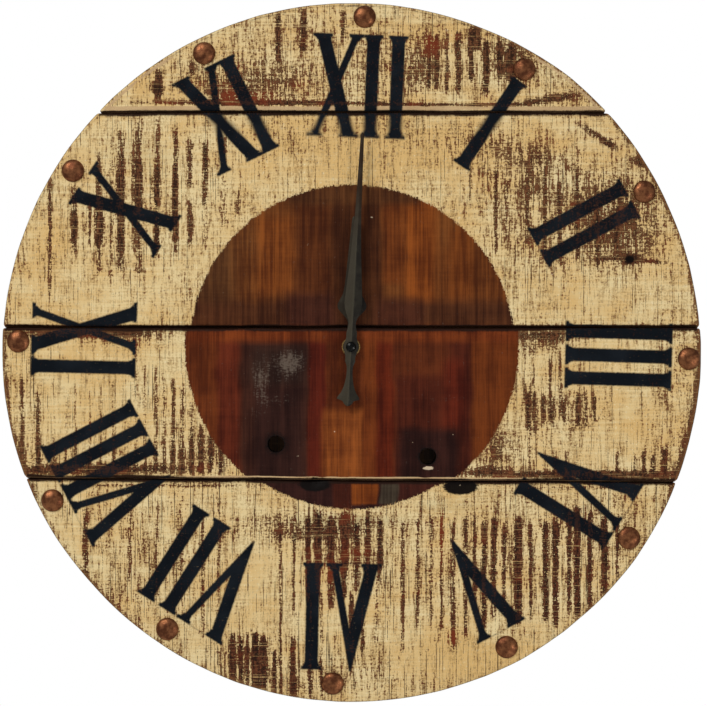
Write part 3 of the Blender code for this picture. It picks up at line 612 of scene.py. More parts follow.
# where the rim is sanded bare: degrees clockwise from twelve, strength, width
RIM_WEAR = (
    (0, 0.15, 1.5), (30, 0.2, 2.0), (50, 0.5, 3.0), (62, 0.6, 3.0), (75, 0.7, 3.0), (92, 0.75, 4.5),
    (110, 0.85, 5.5), (120, 0.3, 2.5), (140, 0.15, 1.5), (180, 0.1, 1.5), (215, 0.35, 3.0),
    (240, 0.5, 3.5), (250, 0.65, 4.0), (270, 0.5, 4.0), (290, 0.2, 2.0), (320, 0.1, 1.5),
    (345, 0.1, 1.5),
)

# dark spots, knots, iron stain, and painted shade inside and round the dent on the lower board: x, z,
# half width, half height, strength
DARK = (
    (-34, -115.5, 10.5, 5.0, 1.9), (-34, -113.5, 26, 7, 0.40), (93.5, -117, 14, 6.6, 1.9),
    (242, 82, 5, 4, 1.0), (-67.9, -79.7, 12.5, 12.5, 0.75), (65.0, -90.5, 12, 12, 0.70),
    (-172, 232, 6, 5, 0.55), (-60, 211, 40, 6, 0.25), (110, 130, 3, 2, 0.5),
)

# the two stopped bolt holes in the middle board: x and z, and their radius
BOLTS = ((-67.9, -79.7), (65.0, -90.5))
BOLT_R = 7.2

# white paint chips and flecks: x, z, half width, half height, strength
FLECKS = (
    (65.5, -100.8, 5.4, 1.8, 1.2), (-16.5, -68.5, 0.9, 1.9, 0.85), (-48.5, -90, 1.5, 0.7, 0.8),
    (52, -78, 0.8, 0.8, 0.75), (174, 69, 1.4, 1.0, 0.8), (93.5, -116.5, 1.6, 1.7, 0.75),
    (72, -26, 1.8, 0.5, 0.8), (87, -72, 0.7, 1.2, 0.75), (16, 119, 1.6, 1.2, 0.85),
    (-10, 125, 1.2, 0.9, 0.7), (-40, 95, 1.0, 1.4, 0.7),
)

# redder bare wood: x, z, half width, half height, amount
REDS = (
    (-80, 232, 62, 24, 0.35), (-104, 224, 20, 11, 0.6), (-150, 220, 60, 5, 0.2),
    (-8, -176, 60, 46, 0.4), (-245, 17, 60, 8, 0.3), (78, -160, 8, 24, 0.8),
    (150, -106, 60, 8, 0.3), (-150, -104, 60, 8, 0.3), (62, 250, 20, 20, 0.3),
)

# warmer (above 0) and greyer (below 0) paint: x, z, half width, half height, amount
WARMTH = (
    (100, -268, 70, 17, 0.9), (-6, -147, 60, 7, -0.45), (85, -134, 44, 9, -0.30),
    (20, 180, 130, 34, 0.75), (-250, -20, 50, 60, 0.3), (220, -60, 70, 40, 0.2),
    (-160, 235, 40, 14, 0.4), (250, 120, 30, 60, 0.2), (-265, 95, 20, 40, 0.6),
    (-200, -105, 80, 8, 0.4), (85, 280, 60, 8, 0.6), (-190, 175, 40, 20, -0.3),
    (-100, 165, 60, 24, -0.25), (60, 180, 60, 14, 0.4),
)

# the varnished disc in the middle: its centre and its radius on the outer and the middle boards
DISC_AT = (-1.3, 5.3)
DISC_R = 142.0
DISC_R_MIDDLE = 146.0
VARNISH = (90, 50, 26)

# the disc's colours: left, right, bottom, top, softness, colour
STAINS = (
    (-150, 150, 20, 160, 1, (100, 55, 24)), (-150, -104, 20, 160, 9, (84, 50, 26)),
    (-104, -84, 90, 130, 6, (104, 60, 28)), (-84, -50, 50, 120, 8, (112, 58, 22)),
    (-52, -18, 20, 160, 6, (84, 42, 18)), (-20, 26, 20, 160, 5, (66, 33, 15)),
    (26, 44, 60, 150, 4, (98, 48, 18)), (44, 72, 20, 160, 6, (116, 58, 20)),
    (72, 150, 20, 92, 8, (96, 50, 20)), (84, 104, 40, 110, 6, (106, 54, 20)),
    (-60, 60, 130, 160, 5, (78, 44, 22)), (-150, 150, 20, 46, 7, (72, 38, 20)),
    (-60, -16, 20, 52, 7, (62, 30, 20)), (20, 60, 20, 46, 7, (64, 31, 19)),
    (-150, 150, -114, 22, 1, (96, 44, 18)), (-120, -98, -114, 22, 4, (84, 32, 17)),
    (-100, -38, -114, 22, 4, (56, 28, 20)), (-90, -42, -30, 6, 8, (50, 31, 25)),
    (-88, -44, -114, -30, 6, (44, 22, 18)), (-40, -24, -114, 22, 2, (74, 23, 12)),
    (-24, 8, -60, 22, 3, (86, 38, 15)), (-26, 14, -114, -50, 5, (124, 64, 26)),
    (8, 24, -114, 22, 2, (97, 44, 16)), (20, 36, -114, 22, 3, (84, 28, 11)),
    (36, 104, -114, 22, 3, (68, 26, 14)), (36, 84, -20, 22, 6, (82, 36, 16)),
    (80, 98, -66, -6, 7, (84, 28, 14)), (40, 92, -114, -66, 5, (44, 20, 16)),
    (104, 150, -114, 22, 3, (94, 43, 15)), (-150, 150, 10, 22, 4, (104, 46, 18)),
    (-150, 150, -160, -113, 1, (46, 22, 19)), (-18, -1, -160, -113, 2, (60, 24, 15)),
    (-1, 21, -133, -114, 1, (118, 58, 20)), (23, 39, -132, -115, 1, (62, 52, 42)),
    (39, 100, -160, -113, 2, (58, 25, 18)),
)

# grey bloom left where an iron plate sat: x, z, half width, half height, strength
BLOOM = (
    (-82, -26, 7, 18, 0.55), (-55, -8, 12, 11, 0.75), (-66, -14, 22, 16, 0.30),
    (-68, -41, 18, 5, 0.45), (-86, -52, 8, 6, 0.3), (70, -40, 30, 3, 0.25),
)

# numerals: x, z of the middle, turn, letters, size, spacing, mirrored
NUMERALS = (
    (119.6, 201.2, 34.3, "I", 1.0, 1.0, False), (202.0, 113.8, 61.5, "II", 1.015, 1.0, False),
    (232.0, -2.4, 91.7, "III", 1.035, 0.92, False), (197.3, -118.8, 122.0, "VI", 1.03, 1.0, False),
    (108.0, -203.8, 152.2, "V", 1.01, 1.0, False), (-10.2, -231.0, 1.3, "VI", 1.035, 1.03, True),
    (-127.5, -194.4, 212.5, "VII", 1.01, 1.0, False),
    (-212.0, -105.6, 242.5, "VIII", 0.985, 0.91, False),
    (-236.0, 12.2, 271.4, "IX", 1.015, 1.0, False), (-200.3, 125.6, 304.0, "X", 0.985, 1.0, False),
    (-112.6, 208.0, 333.8, "XI", 1.0, 0.91, False), (2.6, 234.0, 2.3, "XII", 1.0, 1.025, False),
)
NUMERAL_REACH = 85.0

# the letters before they are sized: how far an X leans, half widths, distances between letters
LEANS = {"XI": 1.0, "XII": 4.4}
LETTER_H = 90.0
THICK = 10.8
THIN = 6.0
SERIF = 8.7
SERIF_THIN = 6.8
HALF_W = {"I": 8.4, "V": 24.6, "X": 23.4}
PITCHES = {"II": 21.5, "VI": 32.9, "XI": 32.9, "IX": 32.9}


def stroke(x0, x1, width):
    """A straight stroke from the foot at x0 to the head at x1, with level ends."""
    h = LETTER_H / 2.0
    w = width / 2.0
    return [(x0 - w, -h), (x0 + w, -h), (x1 + w, h), (x1 - w, h)]


def serif(x, lean, width, up):
    """A slab across the end of a stroke, with the brackets that lead into it."""
    h = LETTER_H / 2.0
    w = width / 2.0
    s = 1.0 if up else -1.0
    shift = -s * lean * 6.0 / LETTER_H
    reach = SERIF if width > 8.0 else SERIF_THIN
    slab = [(x - reach, s * h), (x + reach, s * h), (x + reach - 0.5, s * (h - 2.6)),
            (x - reach + 0.5, s * (h - 2.6))]
    bracket = [(x - w - 1.9, s * (h - 2.0)), (x + w + 1.9, s * (h - 2.0)),
               (x + w + shift, s * (h - 6.5)), (x - w + shift, s * (h - 6.5))]
    return [slab, bracket]


def letter(kind, x, lean):
    """A letter's convex pieces; a piece may be followed by the convex piece cut out of it."""
    h = LETTER_H / 2.0
    if kind == "I":
        shapes = [stroke(x, x, THICK)] + serif(x, 0.0, THICK, True) + serif(x, 0.0, THICK, False)
        return [(shape, None) for shape in shapes]
    if kind == "V":
        outer = [(x - 21.3, h), (x + 19.0, h), (x + 1.6, -h - 1.0), (x + 0.4, -h - 1.0)]
        inner = [(x - 11.1, h + 0.1), (x + 13.4, h + 0.1), (x + 2.45, -10.3)]
        shapes = serif(x - 15.2, -17.0, THICK, True) + serif(x + 16.2, 17.0, THIN, True)
        return [(outer, inner)] + [(shape, None) for shape in shapes]
    heads = (x - 15.0 + lean, x + 15.0 + lean)
    shapes = [stroke(x + 15.0, heads[0], THICK + 0.6), stroke(x - 15.0, heads[1], THIN)]
    shapes += serif(heads[0], -30.0, THICK, True) + serif(heads[1], 30.0, THIN, True)
    shapes += serif(x + 15.0, -30.0, THICK, False) + serif(x - 15.0, 30.0, THIN, False)
    return [(shape, None) for shape in shapes]


def polygon_distance(x, z, corners):
    """Roughly how far outside a convex polygon each point is, negative inside."""
    area = 0.0
    for (ax, az), (bx, bz) in zip(corners, corners[1:] + corners[:1]):
        area += ax * bz - bx * az
    if area < 0.0:
        corners = corners[::-1]
    best = np.full(x.shape, -1e9)
    for (ax, az), (bx, bz) in zip(corners, corners[1:] + corners[:1]):
        dx, dz = bx - ax, bz - az
        length = math.hypot(dx, dz)
        if length > 1e-6:
            best = np.maximum(best, ((x - ax) * dz - (z - az) * dx) / length)
    return best


def lettering(x, z):
    """Distance in millimetres from the edge of the nearest numeral, negative on it."""
    best = np.full(x.shape, INK_FAR)
    for cx, cz, turn, text, size, spacing, mirrored in NUMERALS:
        t = math.radians(turn)
        near = np.hypot(x - cx, z - cz) < NUMERAL_REACH
        u = ((x[near] - cx) * math.cos(t) - (z[near] - cz) * math.sin(t)) / size
        v = ((x[near] - cx) * math.sin(t) + (z[near] - cz) * math.cos(t)) / size
        if mirrored:
            u = -u
        places = [0.0]
        for a_letter, b_letter in zip(text, text[1:]):
            pair = "II" if a_letter == b_letter else a_letter + b_letter
            places.append(places[-1] + PITCHES[pair] * spacing)
        left = places[0] - HALF_W[text[0]]
        right = places[-1] + HALF_W[text[-1]]
        middle = (left + right) / 2.0
        found = np.full(u.shape, INK_FAR)
        for kind, at in zip(text, places):
            for shape, hole in letter(kind, at - middle, LEANS.get(text, 0.0)):
                away = polygon_distance(u, v, shape)
                if hole:
                    away = np.maximum(away, -polygon_distance(u, v, hole))
                found = np.minimum(found, away)
        best[near] = np.minimum(best[near], found)
    return best


def blobs(x, z, rows):
    total = np.zeros(x.shape)
    for cx, cz, rx, rz, amount in rows:
        q = ((x - cx) / rx) ** 2 + ((z - cz) / rz) ** 2
        total += amount * np.exp(-q ** 1.5)
    return total


def wear_at(x, z):
    total = 0.06 + 0.07 * field(x, z, 46.0, 30.0, 71) + 0.04 * field(x, z, 14.0, 40.0, 72)
    for sx, top, bottom, width, strength in STREAKS:
        across = np.exp(-((x - sx - 0.35 * field(z, z * 0.0, 14.0, 1.0, 73)) / (0.58 * width)) ** 4)
        along = ease(z, bottom - 5.0, bottom + 3.0) * (1.0 - ease(z, top - 3.0, top + 5.0))
        total += strength * across * along
    for cx, cz, rx, rz, turn, strength in WORN:
        t = math.radians(turn)
        u = (x - cx) * math.cos(t) + (z - cz) * math.sin(t)
        v = (z - cz) * math.cos(t) - (x - cx) * math.sin(t)
        q = (u / rx) ** 2 + (v / rz) ** 2
        total += strength * np.exp(-q ** 1.5)
    a = np.arctan2(x, z)
    inset = rim(a) - np.hypot(x, z)
    degrees = np.degrees(a) % 360.0
    at, bare, reach = zip(*RIM_WEAR)
    strength = np.interp(degrees, at, bare, period=360.0)
    width = np.interp(degrees, at, reach, period=360.0)
    return total + strength * np.exp(-(np.clip(inset, 0.0, None) / width) ** 2)


def stain_at(x, z):
    x = x + 1.6 * field(x, z, 30.0, 17.0, 81)
    z = z + 1.2 * field(x, z, 17.0, 17.0, 82)
    colour = np.zeros((len(x), 3)) + np.array(srgb(*VARNISH)[:3])
    for left, right, bottom, top, soft, rgb in STAINS:
        share = ease(x, left - soft, left + soft) * (1.0 - ease(x, right - soft, right + soft))
        share *= ease(z, bottom - soft, bottom + soft) * (1.0 - ease(z, top - soft, top + soft))
        colour += share[:, None] * (np.array(srgb(*rgb)[:3]) - colour)
    return colour


def write(ob, name, values, rest):
    data = np.full(len(ob.data.vertices), rest, np.float32)
    data[:len(values)] = values
    layer = ob.data.attributes.new(name, "FLOAT", "POINT")
    layer.data.foreach_set("value", data)


def mark_board(ob, flat, depth):
    x, z = flat[:, 0], flat[:, 1]
    inset = rim(np.arctan2(x, z)) - np.hypot(x, z)
    joint = ease(inset, 1.0, 3.0)
    lower_side = z < (z.min() + z.max()) / 2.0
    keeps_paint = lower_side & (ob.name in ("painted_plank_top", "painted_plank_middle"))
    rub = np.exp(-(depth / 1.8) ** 2) * joint * np.where(keeps_paint, 0.0, 0.5)
    # the pale lip along the lower edge of the top and middle boards: paint kept on the rounded edge,
    # partly a painted highlight where that edge catches the light
    lip_and_highlight = ease(depth, 0.5, 0.9) * joint * keeps_paint
    if ob.name == "painted_plank_top":
        lip_and_highlight *= 0.95 * (1.0 - ease(depth, 3.6, 4.4))
    else:
        lip_and_highlight *= 1.0 - ease(depth, 1.9, 2.7)
        lip_and_highlight *= 0.35 + 0.6 * ease(x, -165.0, -120.0) * (1.0 - ease(x, 130.0, 175.0))
    lip_and_highlight *= 0.9 + 0.35 * field(x, z * 0.0, 9.0, 1.0, 92)
    # painted shade along the joints: darkest at a board's edge and fading over a few millimetres,
    # wider along a board's top edge
    seam_shade = np.exp(-(depth / np.where(lower_side, 0.8, 2.9)) ** 2) * joint
    if ob.name == "painted_plank_middle":
        outer = np.where(lower_side, ease(np.abs(x), 120.0, 175.0), 0.0)
        seam_shade = np.maximum(seam_shade, outer * np.exp(-(depth / 2.6) ** 2) * joint)
    if ob.name == "painted_plank_upper":
        seam_shade = np.where(lower_side, np.exp(-(depth / 1.6) ** 2) * joint, seam_shade)
    seam_shade *= 0.95 + 0.3 * field(x, z * 0.0, 14.0, 1.0, 93)
    seam_shade = np.clip(seam_shade, 0.0, 1.0)
    r = DISC_R_MIDDLE if ob.name == "painted_plank_middle" else DISC_R
    write(ob, "ink", lettering(x, z), INK_FAR)
    write(ob, "wear", wear_at(x, z) + rub, 1.0)
    write(ob, "disc", np.hypot(x - DISC_AT[0], z - DISC_AT[1]) - r, 60.0)
    write(ob, "edge", np.clip(depth, 0.0, 12.0), -2.0)
    write(ob, "lip_and_highlight", lip_and_highlight, 0.0)
    write(ob, "seam_shade", seam_shade, 0.6)
    # painted shade: a thin grey line along the rounded rim
    write(ob, "rim_shade_line", np.exp(-(inset / 0.75) ** 2) * (1.0 - joint), 0.0)
    everywhere = vertices(ob)
    # painted shade: the walls of the bolt holes are marked to be coloured near black
    bolt_hole_shade = np.zeros(len(everywhere))
    for bx, bz in BOLTS:
        away = np.hypot(everywhere[:, 0] - bx, everywhere[:, 2] - bz)
        bolt_hole_shade = np.maximum(bolt_hole_shade, (away < BOLT_R + 0.1) * 1.0)
    write(ob, "bolt_hole_shade", bolt_hole_shade, 0.0)
    for key, rows in (("dark", DARK), ("fleck", FLECKS), ("warm", WARMTH), ("red", REDS),
                      ("bloom", BLOOM)):
        write(ob, key, blobs(x, z, rows), 0.0)
    write(ob, "haze", 0.30 + 0.70 * np.exp(-((z - 200.0) / 10.0) ** 2) * (z < 211.0), 0.0)
    tone = np.ones((len(ob.data.vertices), 4), np.float32)
    tone[:, :3] = srgb(*VARNISH)[:3]
    tone[:len(x), :3] = stain_at(x, z)
    layer = ob.data.attributes.new("tone", "FLOAT_COLOR", "POINT")
    layer.data.foreach_set("color", tone.ravel())


def board_finish(name, seed, stripes, bare, back):
    """Dry-brushed cream paint over sawn wood, the stencilled ink and the varnished disc."""
    s = Shade(name)
    fine = s.noise((1.25, 60.0, 11.0), seed, 3.0, 0.65)
    band = s.noise((3.8, 60.0, 60.0), seed + 1.0, 2.0)
    dash = s.noise((5.0, 60.0, 1.1), seed + 2.0, 4.0, 0.7)
    grain = s.noise((50.0, 60.0, 2.2), seed + 3.0, 3.0, 0.6)
    crumb = s.noise((1.8, 60.0, 1.7), seed + 4.0, 2.0, 0.6)
    cloud = s.noise((30.0, 60.0, 22.0), seed + 5.0, 3.0)
    line = s.noise((1.0, 60.0, 70.0), seed + 8.0, 1.0)
    edge = s.read("edge")
    wear = s.read("wear")
    warm = s.read("warm")

    # bare where the sum of the wear and the brush's misses is above zero
    score = s.add((wear, 0.72), (fine, 1.35), (band, 0.60), (dash, 0.90), (grain, 0.25),
                  (crumb, 1.0), (cloud, 0.35), -2.575)
    cuts = s.noise((46.0, 60.0, 0.75), seed + 10.0, 1.0, 0.5, 0.3)
    cuts = s.ease(s.add((cuts, 1.0), (fine, 0.15), (crumb, 0.12), -0.135), 0.625, 0.665, 1.0, 0.12)
    wood = s.math("MULTIPLY", s.ease(score, -0.012, 0.022), cuts)
    thin = s.ease(score, -0.16, 0.0)
    cracks = s.ease(s.add((line, 1.0), (fine, 0.35), (dash, 0.30), (wear, 0.06), -0.325), 0.645, 0.70)

    tint = s.add((warm, 0.5), (cloud, 1.3), (grain, 0.6), -0.45)
    cream = s.mix(s.ease(tint, 0.1, 0.9), srgb(225, 204, 155), srgb(212, 175, 114))
    cream = s.over(cream, (150, 134, 92), warm, -0.1, -0.8)
    cream = s.over(cream, (240, 226, 186), crumb, 0.55, 0.70, 0.55)
    film = s.add((fine, 0.9), (band, 0.6), (crumb, 0.8), (grain, 0.4), (wear, 0.25), -0.95)
    cream = s.over(cream, (162, 128, 78), film, 0.34, 0.60, 0.66)
    cream = s.over(cream, (140, 104, 62), thin, 0.0, 1.0, 0.45)
    cream = s.mix(s.math("MULTIPLY", cracks, 0.85), cream, srgb(66, 46, 28))
    raw = s.mix(s.ease(s.add((dash, 0.4), (fine, 0.5), (crumb, 0.4), -0.15), 0.42, 0.64),
                srgb(*bare[0]), srgb(*bare[1]))
    red = s.ease(s.add((cloud, 1.0), (s.read("red"), 0.30), 0.0), 0.58, 0.78, 0.0, 0.8)
    raw = s.mix(red, raw, srgb(116, 48, 26))
    raw = s.over(raw, (140, 94, 56), edge, 5.0, 0.5, 0.5)
    coat = s.mix(wood, cream, raw)

    # the varnished disc
    ragged = s.add((s.read("disc"), 1.0), (fine, 6.0), (crumb, 5.0), (dash, 3.0), -7.0)
    disc = s.ease(ragged, 0.4, -0.4)
    stripe = s.noise((stripes, 60.0, 90.0), seed + 6.0, 3.0, 0.65)
    thread = s.noise((1.6, 60.0, 80.0), seed + 9.0, 2.0)
    shade = s.add((stripe, 1.25), (thread, 0.7), (grain, 0.22), (cloud, 0.75), (crumb, 0.1), -1.06)
    tone = s.read("tone")
    deep = s.mix(1.0, tone, (0.50, 0.42, 0.42, 1.0), "MULTIPLY")
    lit = s.mix(1.0, tone, (1.50, 1.56, 1.42, 1.0), "MULTIPLY")
    varnish = s.mix(s.ease(shade, 0.1, 0.9), deep, lit)
    bloom = s.add((s.read("bloom"), 0.8), (crumb, 0.9), (dash, 1.5), (fine, 1.5), -2.2)
    varnish = s.over(varnish, (132, 118, 104), bloom, 0.05, 0.65, 0.40)
    coat = s.mix(disc, coat, varnish)

    # painted shade in the joints, the pale lip a board keeps above one (paint kept on the edge, partly
    # a painted highlight), a line of painted shade round the rim
    # pale lip: kept paint, partly a painted highlight on the rounded edge
    ragged_lip_and_highlight = s.add((s.read("lip_and_highlight"), 1.0), (dash, 0.6), (grain, 0.7), -0.65)
    pale = s.mix(cloud, srgb(206, 178, 134), srgb(172, 138, 100))
    coat = s.mix(s.ease(ragged_lip_and_highlight, 0.35, 0.60), coat, pale)
    seam_shade = s.add((s.read("seam_shade"), 1.0), (crumb, 0.35), (dash, 0.35), -0.35)
    # painted shade in the joints, a near-black brown
    coat = s.over(coat, (36, 19, 12), seam_shade, 0.15, 0.72, 0.985)
    # painted shade along the rounded rim
    rim_shade_line = s.add((s.read("rim_shade_line"), 1.0), (crumb, 0.6), (cloud, 0.5), -0.55)
    coat = s.over(coat, (104, 92, 68), rim_shade_line, 0.3, 0.8, 0.75)

    # dark marks, with painted shade in the lower board's dent, and white chips
    dark = s.add((s.read("dark"), 1.0), (crumb, 0.7), (dash, 0.5), -0.6)
    coat = s.over(coat, (13, 8, 7), dark, 0.25, 0.80, 0.996)
    fleck = s.add((s.read("fleck"), 1.0), (crumb, 0.8), (dash, 0.4), -0.6)
    coat = s.over(coat, (206, 184, 154), fleck, 0.45, 0.80, 0.9)

    # stencilled ink, thin where the brush missed and soft where it was sprayed past a step
    haze = s.read("haze")
    soft = s.math("MULTIPLY_ADD", haze, 2.6, 0.10)
    away = s.add((s.read("ink"), 1.0), (crumb, 1.4), (fine, 0.9), -1.45)
    ink = s.ease(s.math("DIVIDE", away, soft), 1.0, -1.0)
    mist = s.ease(s.add((away, 1.0), (haze, -4.5), (cloud, 2.0), 0.0), 0.5, -4.0, 0.0, 0.40)
    scratch = s.noise((9.0, 60.0, 0.6), seed + 7.0, 2.0)
    missed = s.ease(s.add((scratch, 0.7), (crumb, 0.45), (wear, 0.05), -0.075), 0.66, 0.78, 1.0, 0.62)
    ink = s.math("MAXIMUM", s.math("MULTIPLY", ink, missed), mist)
    pigment = s.mix(s.ease(cloud, 0.4, 0.7), srgb(10, 15, 21), srgb(20, 25, 31))
    worn = s.add((score, 0.6), (crumb, 1.0), (dash, 0.6), -0.85)
    pigment = s.over(pigment, (62, 36, 25), worn, 0.06, 0.24, 0.55)
    coat = s.mix(ink, coat, pigment)

    # the sawn sides, and painted shade, near black, on the walls of the bolt holes
    figure = s.noise((170.0, 4.0, 3.0), seed + 11.0, 4.0, 0.62, 0.9)
    kerf = s.noise((3.2, 2.0, 260.0), seed + 12.0, 2.0)
    side = s.mix(s.ease(figure, 0.36, 0.64), srgb(66, 45, 31), srgb(128, 98, 70))
    side = s.over(side, (74, 54, 40), s.add((kerf, 1.0), (dash, 0.25), -0.125), 0.54, 0.70, 0.55)
    side = s.over(side, back, cloud, 0.50, 0.75, 0.45)
    coat = s.mix(s.ease(edge, 0.0, -0.6), coat, side)
    coat = s.mix(s.read("bolt_hole_shade"), coat, s.mix(crumb, srgb(6, 4, 4), srgb(14, 9, 7)))

    rough = s.mix(disc, (0.78, 0.78, 0.78, 1.0), (0.48, 0.48, 0.48, 1.0))
    height = s.add((wood, -0.45), (dash, 0.30), (fine, 0.30), (disc, -0.20), (crumb, 0.25), 0.5)
    s.bump(height, 0.40, 0.8)
    return s.set(Base_Color=coat, Roughness=rough, Specular_IOR_Level=0.07)


# ---------------------------------------------------------------- the boards themselves

SHAFT_HOLE_R = 5.0
SCREW_HOLE_R = 2.3
NAIL_HOLE_R = 1.7
PIN_HOLE_R = 1.2
pivot_x, pivot_z, *_ = node_at("hour_wheel")
nail_names = ["dome_nail_%02d" % hour for hour in range(1, 13)]
nail_at = {name: node_at(name) for name in nail_names}
screw_names = sorted(n for n in nodes if n.startswith("batten_screw"))

edges = {
    "plank_top": (seam(dial_z(top_low.z), 21, 31), None),
    "plank_upper": (seam(dial_z(upper_low.z), 22, 32), seam(dial_z(upper_high.z), 21, 33)),
    "plank_middle": (
        seam(dial_z(mid_low.z), 23, 34, LOWER_SEAM_RISE), seam(dial_z(mid_high.z), 22, 35),
    ),
    "plank_lower": (None, seam(dial_z(low_high.z) - LOWER_SEAM_RISE, 23, 36, LOWER_SEAM_RISE)),
}
for number, (name, (low, high)) in enumerate(edges.items()):
    front = FRONT_MIDDLE if name == "plank_middle" else FRONT
    box_low, box_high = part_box(name)
    bottom, top = dial_z(box_low.z), dial_z(box_high.z)
    holes = []
    for nail in nail_names:
        x, z, _, tip = nail_at[nail]
        if bottom < z < top:
            holes.append((x, z, NAIL_HOLE_R, front - THROUGH, tip + 0.6))
    for screw in screw_names:
        x, z, tip, _ = node_at(screw)
        if bottom < z < top:
            holes.append((x, z, SCREW_HOLE_R, tip - 0.6, BACK + THROUGH))
    if name == "plank_middle":
        holes += [(x, z, BOLT_R, front - THROUGH, BACK + THROUGH) for x, z in BOLTS]
        holes.append((pivot_x, pivot_z, SHAFT_HOLE_R, front - THROUGH, BACK + THROUGH))
    if name == "plank_top":
        for pin in ("hanger_nail_left", "hanger_nail_right"):
            x, z, tip, _ = node_at(pin)
            holes.append((x, z, PIN_HOLE_R, tip - 0.5, BACK + THROUGH))
    ob = build_board("painted_" + name, low, high, front, holes, 100 + 10 * number)
    stripes = 5.5 if name == "plank_upper" else 9.0
    bare = ((44, 26, 17), (114, 72, 45))
    if name == "plank_lower":
        bare = ((40, 23, 16), (104, 60, 38))
    back = ((150, 122, 92), (110, 84, 60), (92, 66, 46), (136, 112, 88))[number]
    look = board_finish("paint_" + name, 3.0 + 11.0 * number, stripes, bare, back)
    ob.data.materials.append(look)
    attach(ob, "clock_body")
    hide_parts(name)


# ---------------------------------------------------------------- dome nails

def copper():
    s = Shade("aged_copper", 1.0, 0.4)
    cloud = s.noise((5.0, 5.0, 5.0), 1.0, 3.0, 0.6)
    speck = s.noise((0.8, 0.8, 0.8), 2.0, 2.0)
    base = s.mix(s.ease(cloud, 0.36, 0.64), srgb(92, 54, 36), srgb(136, 88, 58))
    base = s.over(base, (66, 38, 26), speck, 0.58, 0.72, 0.7)
    s.bump(s.add((cloud, 0.7), (speck, 0.3), 0.0), 0.12, 0.6)
    return s.set(Base_Color=base, Roughness=s.ease(speck, 0.3, 0.7, 0.36, 0.56))


copper_look = copper()
DOME_RISE = 4.0
DOME_STEPS = 14
for k, name in enumerate(nail_names):
    x, z, y0, y1 = nail_at[name]
    low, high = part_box(name)
    r = (high.x - low.x) / 2.0 / MM
    base_y = y0 + DOME_RISE + 0.35
    profile = [(0.0, y0)]
    for step in range(1, DOME_STEPS + 1):
        a = math.radians(90.0 * step / DOME_STEPS)
        out = r * math.sin(a) * (1.0 - 0.03 * math.sin(2.0 * a))
        profile.append((out, y0 + DOME_RISE * (1.0 - math.cos(a))))
    profile += [(r - 0.12, base_y - 0.1), (r - 0.5, base_y), (1.6, base_y), (1.3, base_y + 1.0)]
    profile += [(1.1, y1 - 3.0), (0.0, y1)]
    nail = turned("copper_" + name, profile, x, z, 56, 0.16, 300 + 2 * k, 50.0)
    nail.data.materials.append(copper_look)
    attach(nail, "clock_body")
    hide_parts(name)


# ---------------------------------------------------------------- hands

HAND_ANGLE = 24.0


def hand(name, body, node, stations, degrees, back, ridge, bore, look):
    """A thin ridged blade from (distance from the arbor, half width) pairs, tail first."""
    u = np.array([s[0] for s in stations], float)
    v = np.array([s[1] for s in stations], float)
    at = np.arange(u[0], u[-1] + 0.25, 0.5)
    half = np.interp(at, u, v)
    for _ in range(2):
        inner = 0.25 * half[:-2] + 0.5 * half[1:-1] + 0.25 * half[2:]
        half = np.concatenate([half[:1], inner, half[-1:]])
    crest = np.minimum(ridge, 0.42 + 0.30 * half)
    shares = (-1.0, -0.94, -0.6, -0.3, -0.07, 0.0, 0.07, 0.3, 0.6, 0.94, 1.0)
    a = math.radians(degrees)
    verts = []
    for k, out in enumerate(at):
        rows = []
        for share in shares:
            lift = 0.30 + (crest[k] - 0.30) * (1.0 - min(1.0, abs(share) / 0.94)) ** 0.92
            rows.append((share * half[k], back - (0.22 if abs(share) == 1.0 else lift)))
        rows.append((half[k] * 0.97, back))
        rows.append((-half[k] * 0.97, back))
        for side, y in rows:
            x = pivot_x + out * math.sin(a) + side * math.cos(a)
            z = pivot_z + out * math.cos(a) - side * math.sin(a)
            verts.append((x, y, z))
    m = len(shares) + 2
    faces = [tuple(range(m))[::-1]]
    for k in range(len(at) - 1):
        p = k * m
        faces += [(p + i, p + (i + 1) % m, p + m + (i + 1) % m, p + m + i) for i in range(m)]
    faces.append(tuple(range((len(at) - 1) * m, len(at) * m)))
    ob = solid(name, verts, faces, HAND_ANGLE)
    profile = [(0.0, back - 4.0), (bore, back - 4.0), (bore, back + 2.0), (0.0, back + 2.0)]
    cut(ob, turned("bore", profile, pivot_x, pivot_z, 40))
    smooth(ob.data, HAND_ANGLE)
    points = vertices(ob)
    x = points[:, 0] - pivot_x
    z = points[:, 2] - pivot_z
    out = x * math.sin(a) + z * math.cos(a)
    across = (x * math.cos(a) - z * math.sin(a)) / np.interp(out, at, half)
    # which side of the ridge a point lies on, for painted light on the left side and painted shade on
    # the right
    write(ob, "painted_shade_side", np.clip(across, -1.0, 1.0), 0.0)
    write(ob, "reach", np.clip(out / u[-1], 0.0, 1.0), 0.0)
    ob.data.materials.clear()
    ob.data.materials.append(look)
    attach(ob, body)
    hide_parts(node)


